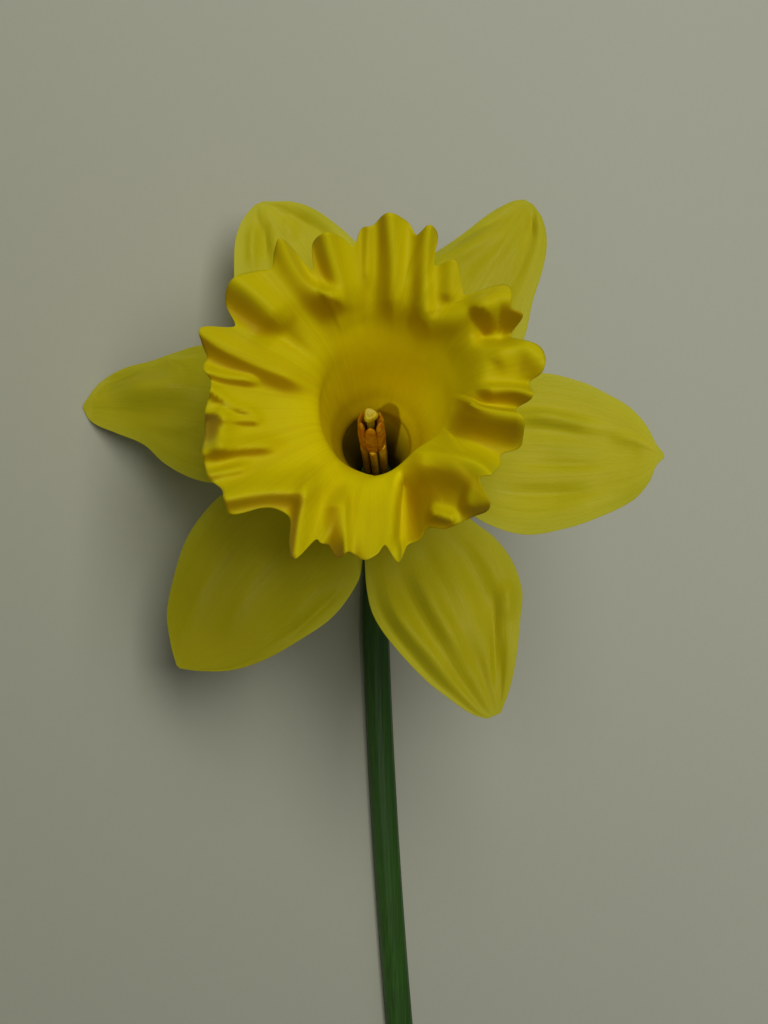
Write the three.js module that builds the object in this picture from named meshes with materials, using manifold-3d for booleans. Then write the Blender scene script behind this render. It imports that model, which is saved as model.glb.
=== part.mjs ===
// A single large-trumpet daffodil as picked: one bloom on its cut flower stem, lying on a surface.
// The stem lies along -Y from the neck. The bloom is rolled to the -X side, so that its left tepal
// touches the surface and the trumpet looks up and sideways. Millimetres, +Z up.
import * as THREE from 'three';
import { mergeVertices } from 'three/addons/utils/BufferGeometryUtils.js';
import Module from 'manifold-3d';

const wasm = await Module();
wasm.setup();

// ---------------------------------------------------------------- driving dimensions
const RADIANS = Math.PI / 180;

// How the picked flower lies.
const ROLL = 37.6;             // degrees the bloom is rolled about the stem, away from straight up
const NOD = 13.5;              // degrees the trumpet leans past square to the stem, towards +Y
const CONTACT_SOFTNESS = 0.3;  // how gently a petal flattens where it meets the surface

// The flower stem: an oval scape, then a thinner pedicel that bends into the bloom.
const STEM_LENGTH = 165;
const STEM_WIDTH = 5.8;
const STEM_HEIGHT = 4.8;
const STEM_SIDES = 12;
const STEM_SLANT = 0.03;       // sideways drift per mm at the neck
const STEM_CURVE = 0.0004;     // and its growth per mm squared towards the cut end
const STEM_STEPS = 22;
const BEND_RADIUS = 10;
const BEND_STEPS = 9;
const PEDICEL_RADIUS = 1.55;
const PEDICEL_STARTS = 0.1;    // share of the bend in which the scape narrows to the pedicel
const PEDICEL_SWELL = 0.7;     // growth in radius from SWELL_STARTS to the ovary
const SWELL_STARTS = 0.6;

// Pieces along the flower's own axis, measured from the plane the tepals spread in.
const SEAT = 0.3;              // gap between pieces that touch
const TUBE_BOTTOM = -21;
const TUBE_TOP = -SEAT;
const OVARY_LENGTH = 12.7;
const OVARY_RADIUS = 3.9;
const OVARY_LOBE = 0.05;       // share by which its three chambers bulge
const OVARY_SHAPE = [[0, 0.55], [0.12, 0.78], [0.35, 0.97], [0.6, 1], [0.85, 0.9], [1, 0.8]];
const ROUND_SIDES = 18;        // sides of the ovary, the style and the filament ring
const TUBE_SIDES = 30;
const TUBE_OUTSIDE = [[3.9, TUBE_BOTTOM], [4.6, -13], [5.6, -7.5], [7.2, -3.2], [9.2, -1], [9.2, TUBE_TOP]];
const TUBE_INSIDE = [[6.4, TUBE_TOP], [5.3, -5], [3.8, -12], [3.0, TUBE_BOTTOM]];

// Thin parts.
const TEPAL_THICKNESS = 0.7;
const TRUMPET_THICKNESS = 0.8;
const SPATHE_THICKNESS = 0.6;

// The papery spathe at the neck: radius, wrap in degrees and height along its length, by share of it.
const SPATHE_LENGTH = 38;
const SPATHE_START = 12;       // degrees round the bend where it is attached
const SPATHE_ROWS = 16;
const SPATHE_COLUMNS = 12;
const SPATHE_RADIUS = [[0, 2.15], [0.15, 2.4], [0.35, 4.6], [0.6, 5.6], [0.85, 4.4], [1, 2.2]];
const SPATHE_WRAP = [[0, 285], [0.05, 235], [0.1, 205], [0.35, 170], [0.6, 130], [0.85, 70], [1, 8]];
const SPATHE_HEIGHT = [[0, 0], [0.2, 0.6], [0.45, 3.6], [0.75, 5.2], [1, 4.4]];
const SPATHE_DRIFT = 3.5;      // how far its tip turns aside
const SPATHE_CREASE = 0.05;    // depth of its creases, as a share of the radius
const SPATHE_CREASES = 9;      // creases in a full turn
const SPATHE_TWIST = 4;        // radians that the creases turn along it

// Stamens and style.
const STAMEN_COUNT = 6;
const STAMEN_SIDES = 8;
const ANTHER_BOTTOM = 2;
const ANTHER_TOP = 17.5;
const ANTHER_CIRCLE = 1.9;     // radius of the ring of anthers
const ANTHER_WIDTH = 1.6;
const ANTHER_DEPTH = 1.25;
const FILAMENT_WIDTH = 0.9;
const STYLE_RADIUS = 0.7;
const COLUMN_LEAN = 0.9;       // how far style and stamens lean to the left at the stigma
const STIGMA_BOTTOM = 17.9;
const STIGMA_TOP = 20.6;
const STIGMA_SWELL = 0.8;      // how far its lobes stand out from the style
const STIGMA_LOBE = 0.3;
const FILAMENT_RING = { bottom: TUBE_BOTTOM + 1, height: 1.5, inner: 1.3, outer: 2.65 };

// Tepals. Each spreads along its angle, counterclockwise seen from the front, out to the tip.
// ccw and cw give the half-width on each side of the midrib at a distance from the flower's axis.
// rise is the midrib's height above the tepal plane. middle and end are the relief across the blade,
// from its clockwise margin (-1) to its counterclockwise one (1), half-way along and near the tip.
const TEPAL_ROOT = 7.8;
const ROOT_WIDTHS = [[7.8, 3.6], [10, 5.3], [11.5, 6.4]];
const OUTER_ROOT_RISE = [[7.8, 0.35], [16, 0.25]];
const INNER_ROOT_RISE = [[7.8, 0.35], [10, 0.8], [12.5, 1.6], [16, 2.0]];
const TEPALS = [
  {
    name: 'tepal_inner_left', angle: 171.3, inner: true,
    ccw: [
      [14, 8], [20, 10.6], [27, 11.2], [32, 10.6], [37, 8.6], [41, 5.9], [46.5, 4.3], [51, 2.9],
      [54.8, 0.4],
    ],
    cw: [
      [14, 9], [20, 12.4], [28, 13.9], [34.5, 13.4], [38.5, 11.6], [42.5, 9.6], [48, 7.5], [52, 4.4],
      [54.8, 0.4],
    ],
    rise: [[26, 2.0], [40, 0.4], [55, -3.2]],
    middle: [
      [-1, -0.2], [-0.86, -1.0], [-0.62, -0.3], [-0.25, 0.9], [0, 0.3], [0.45, -0.9], [0.7, -1.0],
      [1, -1.9],
    ],
    end: [[-1, -0.4], [-0.8, -0.7], [-0.3, 0.5], [0, 0.2], [0.5, -0.3], [1, -0.9]],
  },
  {
    name: 'tepal_outer_upper_left', angle: 115.2, inner: false,
    ccw: [
      [14, 8.6], [20, 12], [28, 13], [35, 11.8], [40, 9.7], [45.3, 7.1], [48, 4.8], [49.6, 2.5],
      [50.3, 0.8],
    ],
    cw: [
      [14, 8.6], [20, 12.2], [29, 14.2], [36.2, 13.1], [41, 11.2], [45, 8.8], [48, 5.6], [49.4, 2.8],
      [50.3, 0.8],
    ],
    rise: [[28, 0.1], [42, 0.2], [50.3, 2.0]],
    middle: [
      [-1, -0.1], [-0.85, 0.2], [-0.55, -0.6], [0, 0.7], [0.12, 0.8], [0.3, -0.1], [0.65, 0.6], [1, 1.3],
    ],
    end: [[-1, 0.9], [-0.8, 0.6], [-0.5, -0.3], [0.05, 0.8], [0.3, -0.2], [0.65, 0.5], [1, 1.2]],
  },
  {
    name: 'tepal_inner_upper_right', angle: 58.5, inner: true,
    ccw: [
      [14, 8.6], [20, 11.6], [27, 12.2], [33, 11], [38, 8.8], [43, 6.8], [48, 4.9], [52, 2.6],
      [53.4, 1.0],
    ],
    cw: [
      [14, 8.6], [20, 12], [27, 13], [31.5, 12.3], [37, 10.4], [43, 8.9], [48, 6.9], [51.8, 3.8],
      [53.4, 1.0],
    ],
    rise: [[28, 2.5], [42, 3.4], [53.4, 2.4]],
    middle: [
      [-1, -0.5], [-0.72, 0.1], [-0.5, -0.3], [-0.1, 0.5], [0.35, 0.2], [0.7, 0.6], [0.85, 0], [1, -1.4],
    ],
    end: [
      [-1, 0.2], [-0.75, 0.7], [-0.5, -0.5], [-0.1, 0.5], [0.4, 0.3], [0.7, 0.5], [0.85, -0.2], [1, -1.2],
    ],
  },
  {
    name: 'tepal_outer_right', angle: -2.5, inner: false,
    ccw: [
      [14, 9.4], [20, 12.8], [29, 14.4], [36.5, 13.1], [41, 11.2], [45, 8.9], [48, 5.6], [49.8, 2.2],
      [51.2, 0.4],
    ],
    cw: [
      [14, 9.4], [20, 13.3], [27, 15.1], [34, 13.7], [40, 11.3], [46.2, 7.8], [48.8, 4.6], [49.8, 2.0],
      [51.2, 0.4],
    ],
    rise: [[28, 0.3], [42, 0.6], [51.2, 1.6]],
    middle: [
      [-1, -0.2], [-0.8, 0.4], [-0.55, -0.5], [-0.3, 0.5], [-0.05, 0.1], [0.1, 0.4], [0.3, 0], [0.43, 1],
      [0.56, 0.2], [1, 1.3],
    ],
    end: [[-1, -1], [-0.7, 0.1], [-0.4, 0.2], [-0.1, 0], [0.2, -0.4], [0.45, 0.2], [0.7, 0.5], [1, 0.1]],
  },
  {
    name: 'tepal_inner_lower_right', angle: -67.1, inner: true,
    ccw: [
      [14, 8], [19.4, 10], [24, 12.5], [29.5, 13.7], [34.8, 13], [38.6, 11], [44.5, 7.7], [49.5, 4.2],
      [52.6, 1.2],
    ],
    cw: [
      [14, 8.2], [19.2, 10.2], [24, 11.8], [28.5, 12.5], [34, 11.6], [42.3, 8.7], [47, 6.1], [51, 3.4],
      [52.6, 1.4],
    ],
    rise: [[28, 2.3], [42, 2.4], [52.6, 1.0]],
    middle: [
      [-1, 0.2], [-0.88, -0.4], [-0.7, 0.7], [-0.46, -0.5], [-0.22, 0.8], [0, -0.4], [0.22, 0.8],
      [0.5, -0.6], [0.72, 0.5], [1, -0.4],
    ],
    end: [
      [-1, 0], [-0.85, -0.3], [-0.62, 0.6], [-0.4, -0.4], [-0.12, 0.6], [0.12, -0.3], [0.36, 0.4],
      [0.6, -0.8], [0.78, 0.3], [1, 0.4],
    ],
  },
  {
    name: 'tepal_outer_lower_left', angle: 228.5, inner: false,
    ccw: [
      [14, 9.6], [17, 11.9], [20.5, 14], [28, 14.9], [34.8, 13.3], [42, 10.6], [47, 7.3], [50.6, 3.2],
      [52.4, 0.4],
    ],
    cw: [
      [14, 9.8], [18, 12.5], [24.3, 14.6], [29.2, 15], [35, 14.1], [42, 10.9], [47, 7.7], [50.6, 3.3],
      [52.4, 0.4],
    ],
    rise: [[26, 0], [40, -1.4], [52.4, -3.6]],
    middle: [
      [-1, -1.2], [-0.7, -0.2], [-0.45, -0.3], [-0.2, 0.1], [0.1, 0], [0.55, 0.9], [0.78, 0.7],
      [0.86, 0.2], [1, 0.3],
    ],
    end: [[-1, -0.9], [-0.5, -0.1], [0, 0], [0.5, 0.1], [0.85, 0], [0.93, -0.2], [1, -0.1]],
  },
];
const TEPAL_ROWS = 15;
const TEPAL_COLUMNS = 14;
const TEPAL_ROW_CROWDING = 1.35; // rows draw together towards the tip
const RELIEF_STARTS = 17;      // distance from the axis where a tepal's relief begins, clear of overlaps
const RELIEF_FULL = 30;
const RELIEF_WIDTHS = [1, 9];   // half-widths between which the relief grows

// The trumpet, or corona. Its wall passes through these stations from the root (0) to the rim (1):
// [station, radius, height, shift to the right]. The shoulder and the flare differ by direction:
// [angle, radius, height].
const NECK_STATIONS = [[0, 7, 0, 0], [0.12, 7.9, 5, 0.1], [0.28, 9.3, 12, 0.6], [0.45, 10.9, 20, 1.2]];
const SHOULDER_AT = 0.62;
const SHOULDER_HEIGHT = 28;
const SHOULDER = [
  [0, 13.2], [45, 14], [90, 13.6], [135, 11.6], [180, 10.2], [216, 11.2], [239, 12.8], [254, 14.6],
  [276, 13.2], [307, 11], [330, 11.8],
];
const FLARE_AT = 0.8;
const FLARE = [
  [0, 17.6, 35.4], [45, 17.4, 34.8], [90, 17, 33.4], [135, 17.4, 33], [180, 18, 33], [225, 19, 33.2],
  [270, 20.5, 33.8], [315, 17.6, 35.2],
];
const RIM = [
  [0, 25.6, 38.2], [45, 24.4, 38.2], [90, 26.2, 38.6], [135, 27, 38.4], [180, 28, 38], [225, 29, 37.8],
  [270, 28, 38], [315, 25.4, 38],
];
// The frilled rim, crest by crest and fold by fold: [angle, radius, height, lean]. A lobe with a lean
// grows from that many degrees further round.
const FRILL = [
  [4, 27, 40.4, 2], [12, 27.2, 40.4, 5], [20, 23.4, 37, 9], [25, 26.2, 39, 12], [30, 25.2, 38, 15],
  [37, 26.8, 41, 18], [45, 21.4, 36, 19], [50, 21.8, 38, 18], [57.5, 24.2, 40.5, 14],
  [64.5, 22.4, 36, 10], [67.7, 26.8, 39.8, 8.5], [71.5, 27.6, 41.2, 6.5], [75, 26, 37.8, 4.5],
  [79, 27.8, 39.3, 2.5], [86, 28.3, 41.3], [91, 26.8, 37.5], [95, 26.3, 38.8], [98.5, 23.7, 37.2],
  [103, 25.3, 38.8], [108, 26, 41.2], [113.5, 25.5, 39, -1], [118, 21.9, 36.2, -3],
  [122.3, 27.8, 41.3, -5], [126.5, 27.2, 39, -6.5], [131, 25.5, 36.8, -6.5], [136, 26.8, 39, -4.5],
  [141.5, 28, 41, -2], [146, 28.6, 37.4, -2], [151, 27.6, 35.6, -4], [157, 24.6, 37.2, -6],
  [162.3, 29.1, 41, -2], [166.5, 28.6, 38.4], [170.5, 27.5, 36.6], [174.8, 27.8, 39.3],
  [178.5, 26.5, 37.9], [183, 26.4, 39], [190.5, 27.9, 36.4], [196, 28.6, 38], [201.5, 29.6, 39.8],
  [207.5, 30.4, 36.6], [211.5, 30.6, 37.8], [215.7, 29.8, 36.2], [220, 30.8, 39.5], [224, 31.4, 40.8],
  [228.6, 27.4, 37.6], [233, 25.8, 36.2], [239, 26, 36], [243.5, 30, 39.2], [246.8, 31.6, 40.8],
  [249.8, 27.4, 37.4], [252, 27.6, 38.3], [254.7, 27.6, 36.2], [258.3, 29.1, 35.2], [261.6, 28, 38.8],
  [266.5, 29.2, 40.1], [270.6, 28.2, 39.2], [273.6, 26.6, 37.4, 1], [277.2, 29.8, 40.4, 3],
  [281, 27.2, 38, 5], [285.5, 26.6, 35.4, 7], [289.8, 25.1, 35.8, 7.5], [294.7, 26.4, 37.8, 6.5],
  [300, 26.5, 36.6, 5], [305.5, 26.9, 37.6, 3.5], [311, 27.3, 40.8, 2], [315.7, 22.8, 36.8],
  [320, 23.8, 39], [325, 24.2, 40.6], [329.7, 23.2, 37.2], [335, 25.3, 36.8], [340, 25, 37.8],
  [344.5, 24.3, 39.5], [349, 22.8, 37], [353.5, 25, 38.8], [357, 25.1, 40], [360.6, 24.8, 37.3],
];
// The station where the folds begin to stand out of the wall, by direction.
const FOLD_STARTS = [
  [0, 0.5], [45, 0.5], [90, 0.5], [118, 0.58], [150, 0.56], [170, 0.66], [188, 0.76], [215, 0.76],
  [226, 0.68], [238, 0.6], [270, 0.6], [300, 0.5], [330, 0.46],
];
const FOLD_FULL = 1.15;
const SAMPLES_PER_FRILL_POINT = 2;
const TRUMPET_STATIONS = [0, 0.12, 0.26, 0.4, 0.52, 0.62, 0.71, 0.79, 0.86, 0.93, 1];

// ---------------------------------------------------------------- numbers and curves
function smoothstep(low, high, x) {
  const t = Math.min(1, Math.max(0, (x - low) / (high - low)));
  return t * t * (3 - 2 * t);
}

// A smooth curve through [x, y] knots in order of x, level beyond its ends.
function curve(knots, x) {
  const last = knots.length - 1;
  if (x <= knots[0][0]) return knots[0][1];
  if (x >= knots[last][0]) return knots[last][1];
  let i = 0;
  while (x > knots[i + 1][0]) i += 1;
  const slope = (k) => {
    const before = knots[Math.max(0, k - 1)];
    const after = knots[Math.min(last, k + 1)];
    return (after[1] - before[1]) / (after[0] - before[0]);
  };
  const width = knots[i + 1][0] - knots[i][0];
  const t = (x - knots[i][0]) / width;
  const t2 = t * t;
  const t3 = t2 * t;
  return (2 * t3 - 3 * t2 + 1) * knots[i][1] + (t3 - 2 * t2 + t) * width * slope(i)
    + (3 * t2 - 2 * t3) * knots[i + 1][1] + (t3 - t2) * width * slope(i + 1);
}

// A value round the full turn, from [angle, ...values] rows.
function around(rows, angle, column) {
  const knots = [];
  for (const turn of [-360, 0, 360]) {
    for (const row of rows) knots.push([row[0] + turn, row[column]]);
  }
  const wrapped = ((angle % 360) + 360) % 360;
  return curve(knots, wrapped);
}

// ---------------------------------------------------------------- closed bodies
function closedBody(points, triangles) {
  let volume = 0;
  for (let i = 0; i < triangles.length; i += 3) {
    const [a, b, c] = [points[triangles[i]], points[triangles[i + 1]], points[triangles[i + 2]]];
    volume += a.dot(new THREE.Vector3().crossVectors(b, c));
  }
  const outward = volume > 0 ? triangles : triangles.slice().reverse();
  const geometry = new THREE.BufferGeometry();
  const numbers = points.flatMap((point) => point.toArray());
  geometry.setAttribute('position', new THREE.Float32BufferAttribute(numbers, 3));
  geometry.setIndex(outward);
  geometry.computeVertexNormals();
  return geometry;
}

// A solid through rings of equally many points, with a fan over each end.
function loft(rings) {
  const sides = rings[0].length;
  const points = rings.flat();
  const triangles = [];
  for (let r = 0; r + 1 < rings.length; r += 1) {
    for (let k = 0; k < sides; k += 1) {
      const a = r * sides + k;
      const b = r * sides + (k + 1) % sides;
      triangles.push(a, b, b + sides, a, b + sides, a + sides);
    }
  }
  const end = points.length - sides;
  for (let k = 1; k + 1 < sides; k += 1) {
    triangles.push(0, k + 1, k);
    triangles.push(end, end + k, end + k + 1);
  }
  return closedBody(points, triangles);
}

// A blade of even thickness about a grid of middle points. Both faces are split along the same
// diagonals. With ringed true the columns join up, as round a trumpet.
function blade(grid, thickness, ringed = false) {
  const rows = grid.length;
  const columns = grid[0].length;
  const column = (j) => (ringed ? (j + columns) % columns : Math.min(columns - 1, Math.max(0, j)));
  const faces = [[], []];
  for (let i = 0; i < rows; i += 1) {
    for (let j = 0; j < columns; j += 1) {
      const along = grid[Math.min(rows - 1, i + 1)][j].clone().sub(grid[Math.max(0, i - 1)][j]);
      const across = grid[i][column(j + 1)].clone().sub(grid[i][column(j - 1)]);
      const offset = along.cross(across).setLength(thickness / 2);
      faces[0].push(grid[i][j].clone().add(offset));
      faces[1].push(grid[i][j].clone().sub(offset));
    }
  }
  const size = rows * columns;
  const triangles = [];
  const strips = ringed ? columns : columns - 1;
  for (let i = 0; i + 1 < rows; i += 1) {
    for (let j = 0; j < strips; j += 1) {
      const a = i * columns + j;
      const b = i * columns + column(j + 1);
      const [c, d] = [b + columns, a + columns];
      triangles.push(a, d, c, a, c, b);
      triangles.push(size + a, size + c, size + d, size + a, size + b, size + c);
    }
  }
  const border = (a, b) => triangles.push(a, b, size + b, a, size + b, size + a);
  for (let j = 0; j < strips; j += 1) {
    border(j, column(j + 1));
    border((rows - 1) * columns + column(j + 1), (rows - 1) * columns + j);
  }
  if (!ringed) {
    for (let i = 0; i + 1 < rows; i += 1) {
      border((i + 1) * columns, i * columns);
      border(i * columns + columns - 1, (i + 1) * columns + columns - 1);
    }
  }
  return closedBody([...faces[0], ...faces[1]], triangles);
}

function joined(geometries) {
  let solid = null;
  for (const geometry of geometries) {
    const bare = geometry.clone();
    bare.deleteAttribute('normal');
    bare.deleteAttribute('uv');
    const merged = mergeVertices(bare, 1e-4);
    const piece = new wasm.Manifold(new wasm.Mesh({
      numProp: 3,
      vertProperties: new Float32Array(merged.attributes.position.array),
      triVerts: new Uint32Array(merged.index.array),
    }));
    solid = solid === null ? piece : solid.add(piece);
  }
  const mesh = solid.getMesh();
  const geometry = new THREE.BufferGeometry();
  geometry.setAttribute('position', new THREE.BufferAttribute(new Float32Array(mesh.vertProperties), 3));
  geometry.setIndex(new THREE.BufferAttribute(new Uint32Array(mesh.triVerts), 1));
  geometry.computeVertexNormals();
  return geometry;
}

// ---------------------------------------------------------------- how the flower lies
const X = new THREE.Vector3(1, 0, 0);
const Y = new THREE.Vector3(0, 1, 0);
const Z = new THREE.Vector3(0, 0, 1);
// FACE points out of the bloom square to the stem. SIDE is the bloom's own right.
const FACE = Z.clone().applyAxisAngle(Y, -ROLL * RADIANS);
const SIDE = X.clone().applyAxisAngle(Y, -ROLL * RADIANS);
const AXIS = Y.clone().applyAxisAngle(SIDE, (90 - NOD) * RADIANS);
const UPWARD = new THREE.Vector3().crossVectors(AXIS, SIDE);

// The bottom facet of the stem's oval lies flat on the surface.
const HALF_FACET = Math.PI / STEM_SIDES;
const NECK = new THREE.Vector3(0, 0, STEM_HEIGHT / 2 * Math.cos(HALF_FACET));
const BEND_ANGLE = (90 - NOD) * RADIANS;

function onBend(angle) {
  return NECK.clone().addScaledVector(Y, BEND_RADIUS * Math.sin(angle))
    .addScaledVector(FACE, BEND_RADIUS * (1 - Math.cos(angle)));
}

const BLOOM_CENTRE = onBend(BEND_ANGLE).addScaledVector(AXIS, OVARY_LENGTH + 2 * SEAT - TUBE_BOTTOM);

const bloom = new THREE.Group();
bloom.position.copy(BLOOM_CENTRE);
bloom.quaternion.setFromRotationMatrix(new THREE.Matrix4().makeBasis(SIDE, UPWARD, AXIS));
bloom.updateMatrixWorld(true);

// Lifts a blade's middle point so that the blade lies flat on the surface instead of passing through.
function settled(point, thickness) {
  const lift = (point.z - thickness / 2) / CONTACT_SOFTNESS;
  if (lift < 20) point.z = thickness / 2 + CONTACT_SOFTNESS * Math.log(1 + Math.exp(lift));
  return point;
}

// ---------------------------------------------------------------- stem, spathe, ovary, tube
function oval(centre, side, up, halfWidth, halfHeight) {
  const ring = [];
  for (let k = 0; k < STEM_SIDES; k += 1) {
    const angle = HALF_FACET + 2 * Math.PI * k / STEM_SIDES;
    ring.push(centre.clone().addScaledVector(side, halfWidth * Math.sin(angle))
      .addScaledVector(up, halfHeight * Math.cos(angle)));
  }
  return ring;
}

// The directions that the stem's own side and top take after a turn round the bend.
function bendFrame(angle) {
  const inward = FACE.clone().multiplyScalar(Math.cos(angle)).addScaledVector(Y, -Math.sin(angle));
  const side = SIDE.clone().multiplyScalar(Math.cos(ROLL * RADIANS))
    .addScaledVector(inward, -Math.sin(ROLL * RADIANS));
  const up = SIDE.clone().multiplyScalar(Math.sin(ROLL * RADIANS))
    .addScaledVector(inward, Math.cos(ROLL * RADIANS));
  return { side, up };
}

function stemBody() {
  const rings = [];
  for (let i = 0; i <= STEM_STEPS; i += 1) {
    const back = STEM_LENGTH * (1 - i / STEM_STEPS);
    const centre = new THREE.Vector3(STEM_SLANT * back + STEM_CURVE * back * back, -back, NECK.z);
    const heading = new THREE.Vector3(-STEM_SLANT - 2 * STEM_CURVE * back, 1, 0).normalize();
    const side = new THREE.Vector3().crossVectors(heading, Z);
    rings.push(oval(centre, side, Z, STEM_WIDTH / 2, STEM_HEIGHT / 2));
  }
  for (let i = 1; i <= BEND_STEPS; i += 1) {
    const angle = BEND_ANGLE * i / BEND_STEPS;
    const { side, up } = bendFrame(angle);
    const taper = smoothstep(0, PEDICEL_STARTS, i / BEND_STEPS);
    const swell = PEDICEL_SWELL * smoothstep(SWELL_STARTS, 1, i / BEND_STEPS);
    const halfWidth = THREE.MathUtils.lerp(STEM_WIDTH / 2, PEDICEL_RADIUS, taper) + swell;
    const halfHeight = THREE.MathUtils.lerp(STEM_HEIGHT / 2, PEDICEL_RADIUS, taper) + swell;
    rings.push(oval(onBend(angle), side, up, halfWidth, halfHeight));
  }
  return loft(rings);
}

// A dry one-valved sheath: it wraps the pedicel, opens on the bloom's side and lies back to a point.
function spatheBody() {
  const start = onBend(SPATHE_START * RADIANS);
  const grid = [];
  for (let i = 0; i <= SPATHE_ROWS; i += 1) {
    const s = i / SPATHE_ROWS;
    const centre = start.clone().addScaledVector(Y, SPATHE_LENGTH * s);
    centre.z += curve(SPATHE_HEIGHT, s);
    centre.x += SPATHE_DRIFT * s * s;
    const row = [];
    for (let j = 0; j <= SPATHE_COLUMNS; j += 1) {
      const turn = (j / SPATHE_COLUMNS - 0.5) * curve(SPATHE_WRAP, s) * RADIANS;
      const crease = 1 + SPATHE_CREASE * s * Math.sin(SPATHE_CREASES * turn + SPATHE_TWIST * s);
      const radius = curve(SPATHE_RADIUS, s) * crease;
      const point = centre.clone().addScaledVector(FACE, -radius * Math.cos(turn))
        .addScaledVector(SIDE, radius * Math.sin(turn));
      row.push(settled(point, SPATHE_THICKNESS));
    }
    grid.push(row);
  }
  return blade(grid, SPATHE_THICKNESS);
}

// A ring about the bloom's axis, or shifted aside, whose radius may change with the angle.
function lobedRing(height, radiusAt, aside = 0) {
  const ring = [];
  for (let k = 0; k < ROUND_SIDES; k += 1) {
    const angle = 2 * Math.PI * k / ROUND_SIDES;
    const radius = radiusAt(angle);
    ring.push(new THREE.Vector3(aside + radius * Math.cos(angle), radius * Math.sin(angle), height));
  }
  return ring;
}

// How far aside the column of style and stamens stands at a height.
function columnLean(height) {
  return -COLUMN_LEAN * smoothstep(0, STIGMA_TOP - TUBE_BOTTOM, height - TUBE_BOTTOM);
}

function ovaryBody() {
  return loft(OVARY_SHAPE.map(([along, share]) => lobedRing(
    TUBE_BOTTOM - SEAT - OVARY_LENGTH * (1 - along),
    (angle) => OVARY_RADIUS * share * (1 + OVARY_LOBE * Math.cos(3 * angle)),
  )));
}

// LatheGeometry turns about Y, so its result is stood up along Z.
function turned(profile, segments) {
  const points = profile.map(([radius, height]) => new THREE.Vector2(radius, height));
  return new THREE.LatheGeometry(points, segments).rotateX(Math.PI / 2);
}

function tubeBody() {
  return turned([...TUBE_OUTSIDE, ...TUBE_INSIDE, TUBE_OUTSIDE[0]], TUBE_SIDES);
}

// ---------------------------------------------------------------- stamens and style
// One stamen in the direction turn from the axis, from [height, width, depth] stations.
function stamen(stations, turn) {
  const rings = stations.map(([height, width, depth]) => {
    const ring = [];
    for (let k = 0; k < STAMEN_SIDES; k += 1) {
      const angle = 2 * Math.PI * (k + 0.5) / STAMEN_SIDES;
      const out = ANTHER_CIRCLE + depth / 2 * Math.cos(angle);
      const point = new THREE.Vector3(out, width / 2 * Math.sin(angle), height).applyAxisAngle(Z, turn);
      point.x += columnLean(height);
      ring.push(point);
    }
    return ring;
  });
  return loft(rings);
}

// Six stamens on one thin ring that sits in the tube round the style.
function stamensBody() {
  const { bottom, height, inner, outer } = FILAMENT_RING;
  const top = bottom + height;
  const anther = ANTHER_TOP - ANTHER_BOTTOM;
  const stations = [
    [bottom + height / 2, FILAMENT_WIDTH, FILAMENT_WIDTH],
    [bottom + 10, FILAMENT_WIDTH, FILAMENT_WIDTH],
    [ANTHER_BOTTOM - 1, FILAMENT_WIDTH, FILAMENT_WIDTH],
    [ANTHER_BOTTOM, 0.75 * ANTHER_WIDTH, 0.75 * ANTHER_DEPTH],
    [ANTHER_BOTTOM + 0.12 * anther, ANTHER_WIDTH, ANTHER_DEPTH],
    [ANTHER_BOTTOM + 0.75 * anther, 0.95 * ANTHER_WIDTH, 0.95 * ANTHER_DEPTH],
    [ANTHER_BOTTOM + 0.93 * anther, 0.7 * ANTHER_WIDTH, 0.75 * ANTHER_DEPTH],
    [ANTHER_TOP, 0.3 * ANTHER_WIDTH, 0.35 * ANTHER_DEPTH],
  ];
  const section = [[inner, bottom], [outer, bottom], [outer, top], [inner, top], [inner, bottom]];
  const pieces = [turned(section, ROUND_SIDES)];
  for (let k = 0; k < STAMEN_COUNT; k += 1) {
    pieces.push(stamen(stations, 2 * Math.PI * (k + 0.5) / STAMEN_COUNT));
  }
  return joined(pieces);
}

function styleBody() {
  const stations = [
    [TUBE_BOTTOM, 0], [-8, 0], [2, 0], [10, 0], [STIGMA_BOTTOM - 1.5, 0],
    [STIGMA_BOTTOM, 0.25], [STIGMA_BOTTOM + 0.9, 0.75],
    [STIGMA_TOP - 0.7, 0.9], [STIGMA_TOP, 0.35],
  ];
  return loft(stations.map(([height, share]) => lobedRing(
    height,
    (angle) => STYLE_RADIUS + share * (STIGMA_SWELL + STIGMA_LOBE * Math.cos(3 * angle)),
    columnLean(height),
  )));
}

// ---------------------------------------------------------------- tepals
// s runs from the root (0) to the tip (1), t from the clockwise margin (-1) to the other (1).
function tepalPoint(tepal, s, t) {
  const tip = tepal.ccw[tepal.ccw.length - 1][0];
  const distance = TEPAL_ROOT + (tip - TEPAL_ROOT) * s;
  const halfWidth = curve([...ROOT_WIDTHS, ...(t > 0 ? tepal.ccw : tepal.cw)], distance);
  const rise = [...(tepal.inner ? INNER_ROOT_RISE : OUTER_ROOT_RISE), ...tepal.rise];
  const relief = THREE.MathUtils.lerp(curve(tepal.middle, t), curve(tepal.end, t), smoothstep(0.5, 0.9, s));
  const shown = smoothstep(RELIEF_STARTS, RELIEF_FULL, distance) * smoothstep(...RELIEF_WIDTHS, halfWidth);
  const height = curve(rise, distance) + relief * shown;
  return new THREE.Vector3(distance, t * halfWidth, height).applyAxisAngle(Z, tepal.angle * RADIANS);
}

function tepalBody(tepal) {
  const grid = [];
  for (let i = 0; i <= TEPAL_ROWS; i += 1) {
    const s = 1 - (1 - i / TEPAL_ROWS) ** TEPAL_ROW_CROWDING;
    const row = [];
    for (let j = 0; j <= TEPAL_COLUMNS; j += 1) {
      const point = tepalPoint(tepal, s, 2 * j / TEPAL_COLUMNS - 1);
      row.push(bloom.worldToLocal(settled(bloom.localToWorld(point), TEPAL_THICKNESS)));
    }
    grid.push(row);
  }
  return blade(grid, TEPAL_THICKNESS);
}

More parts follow.
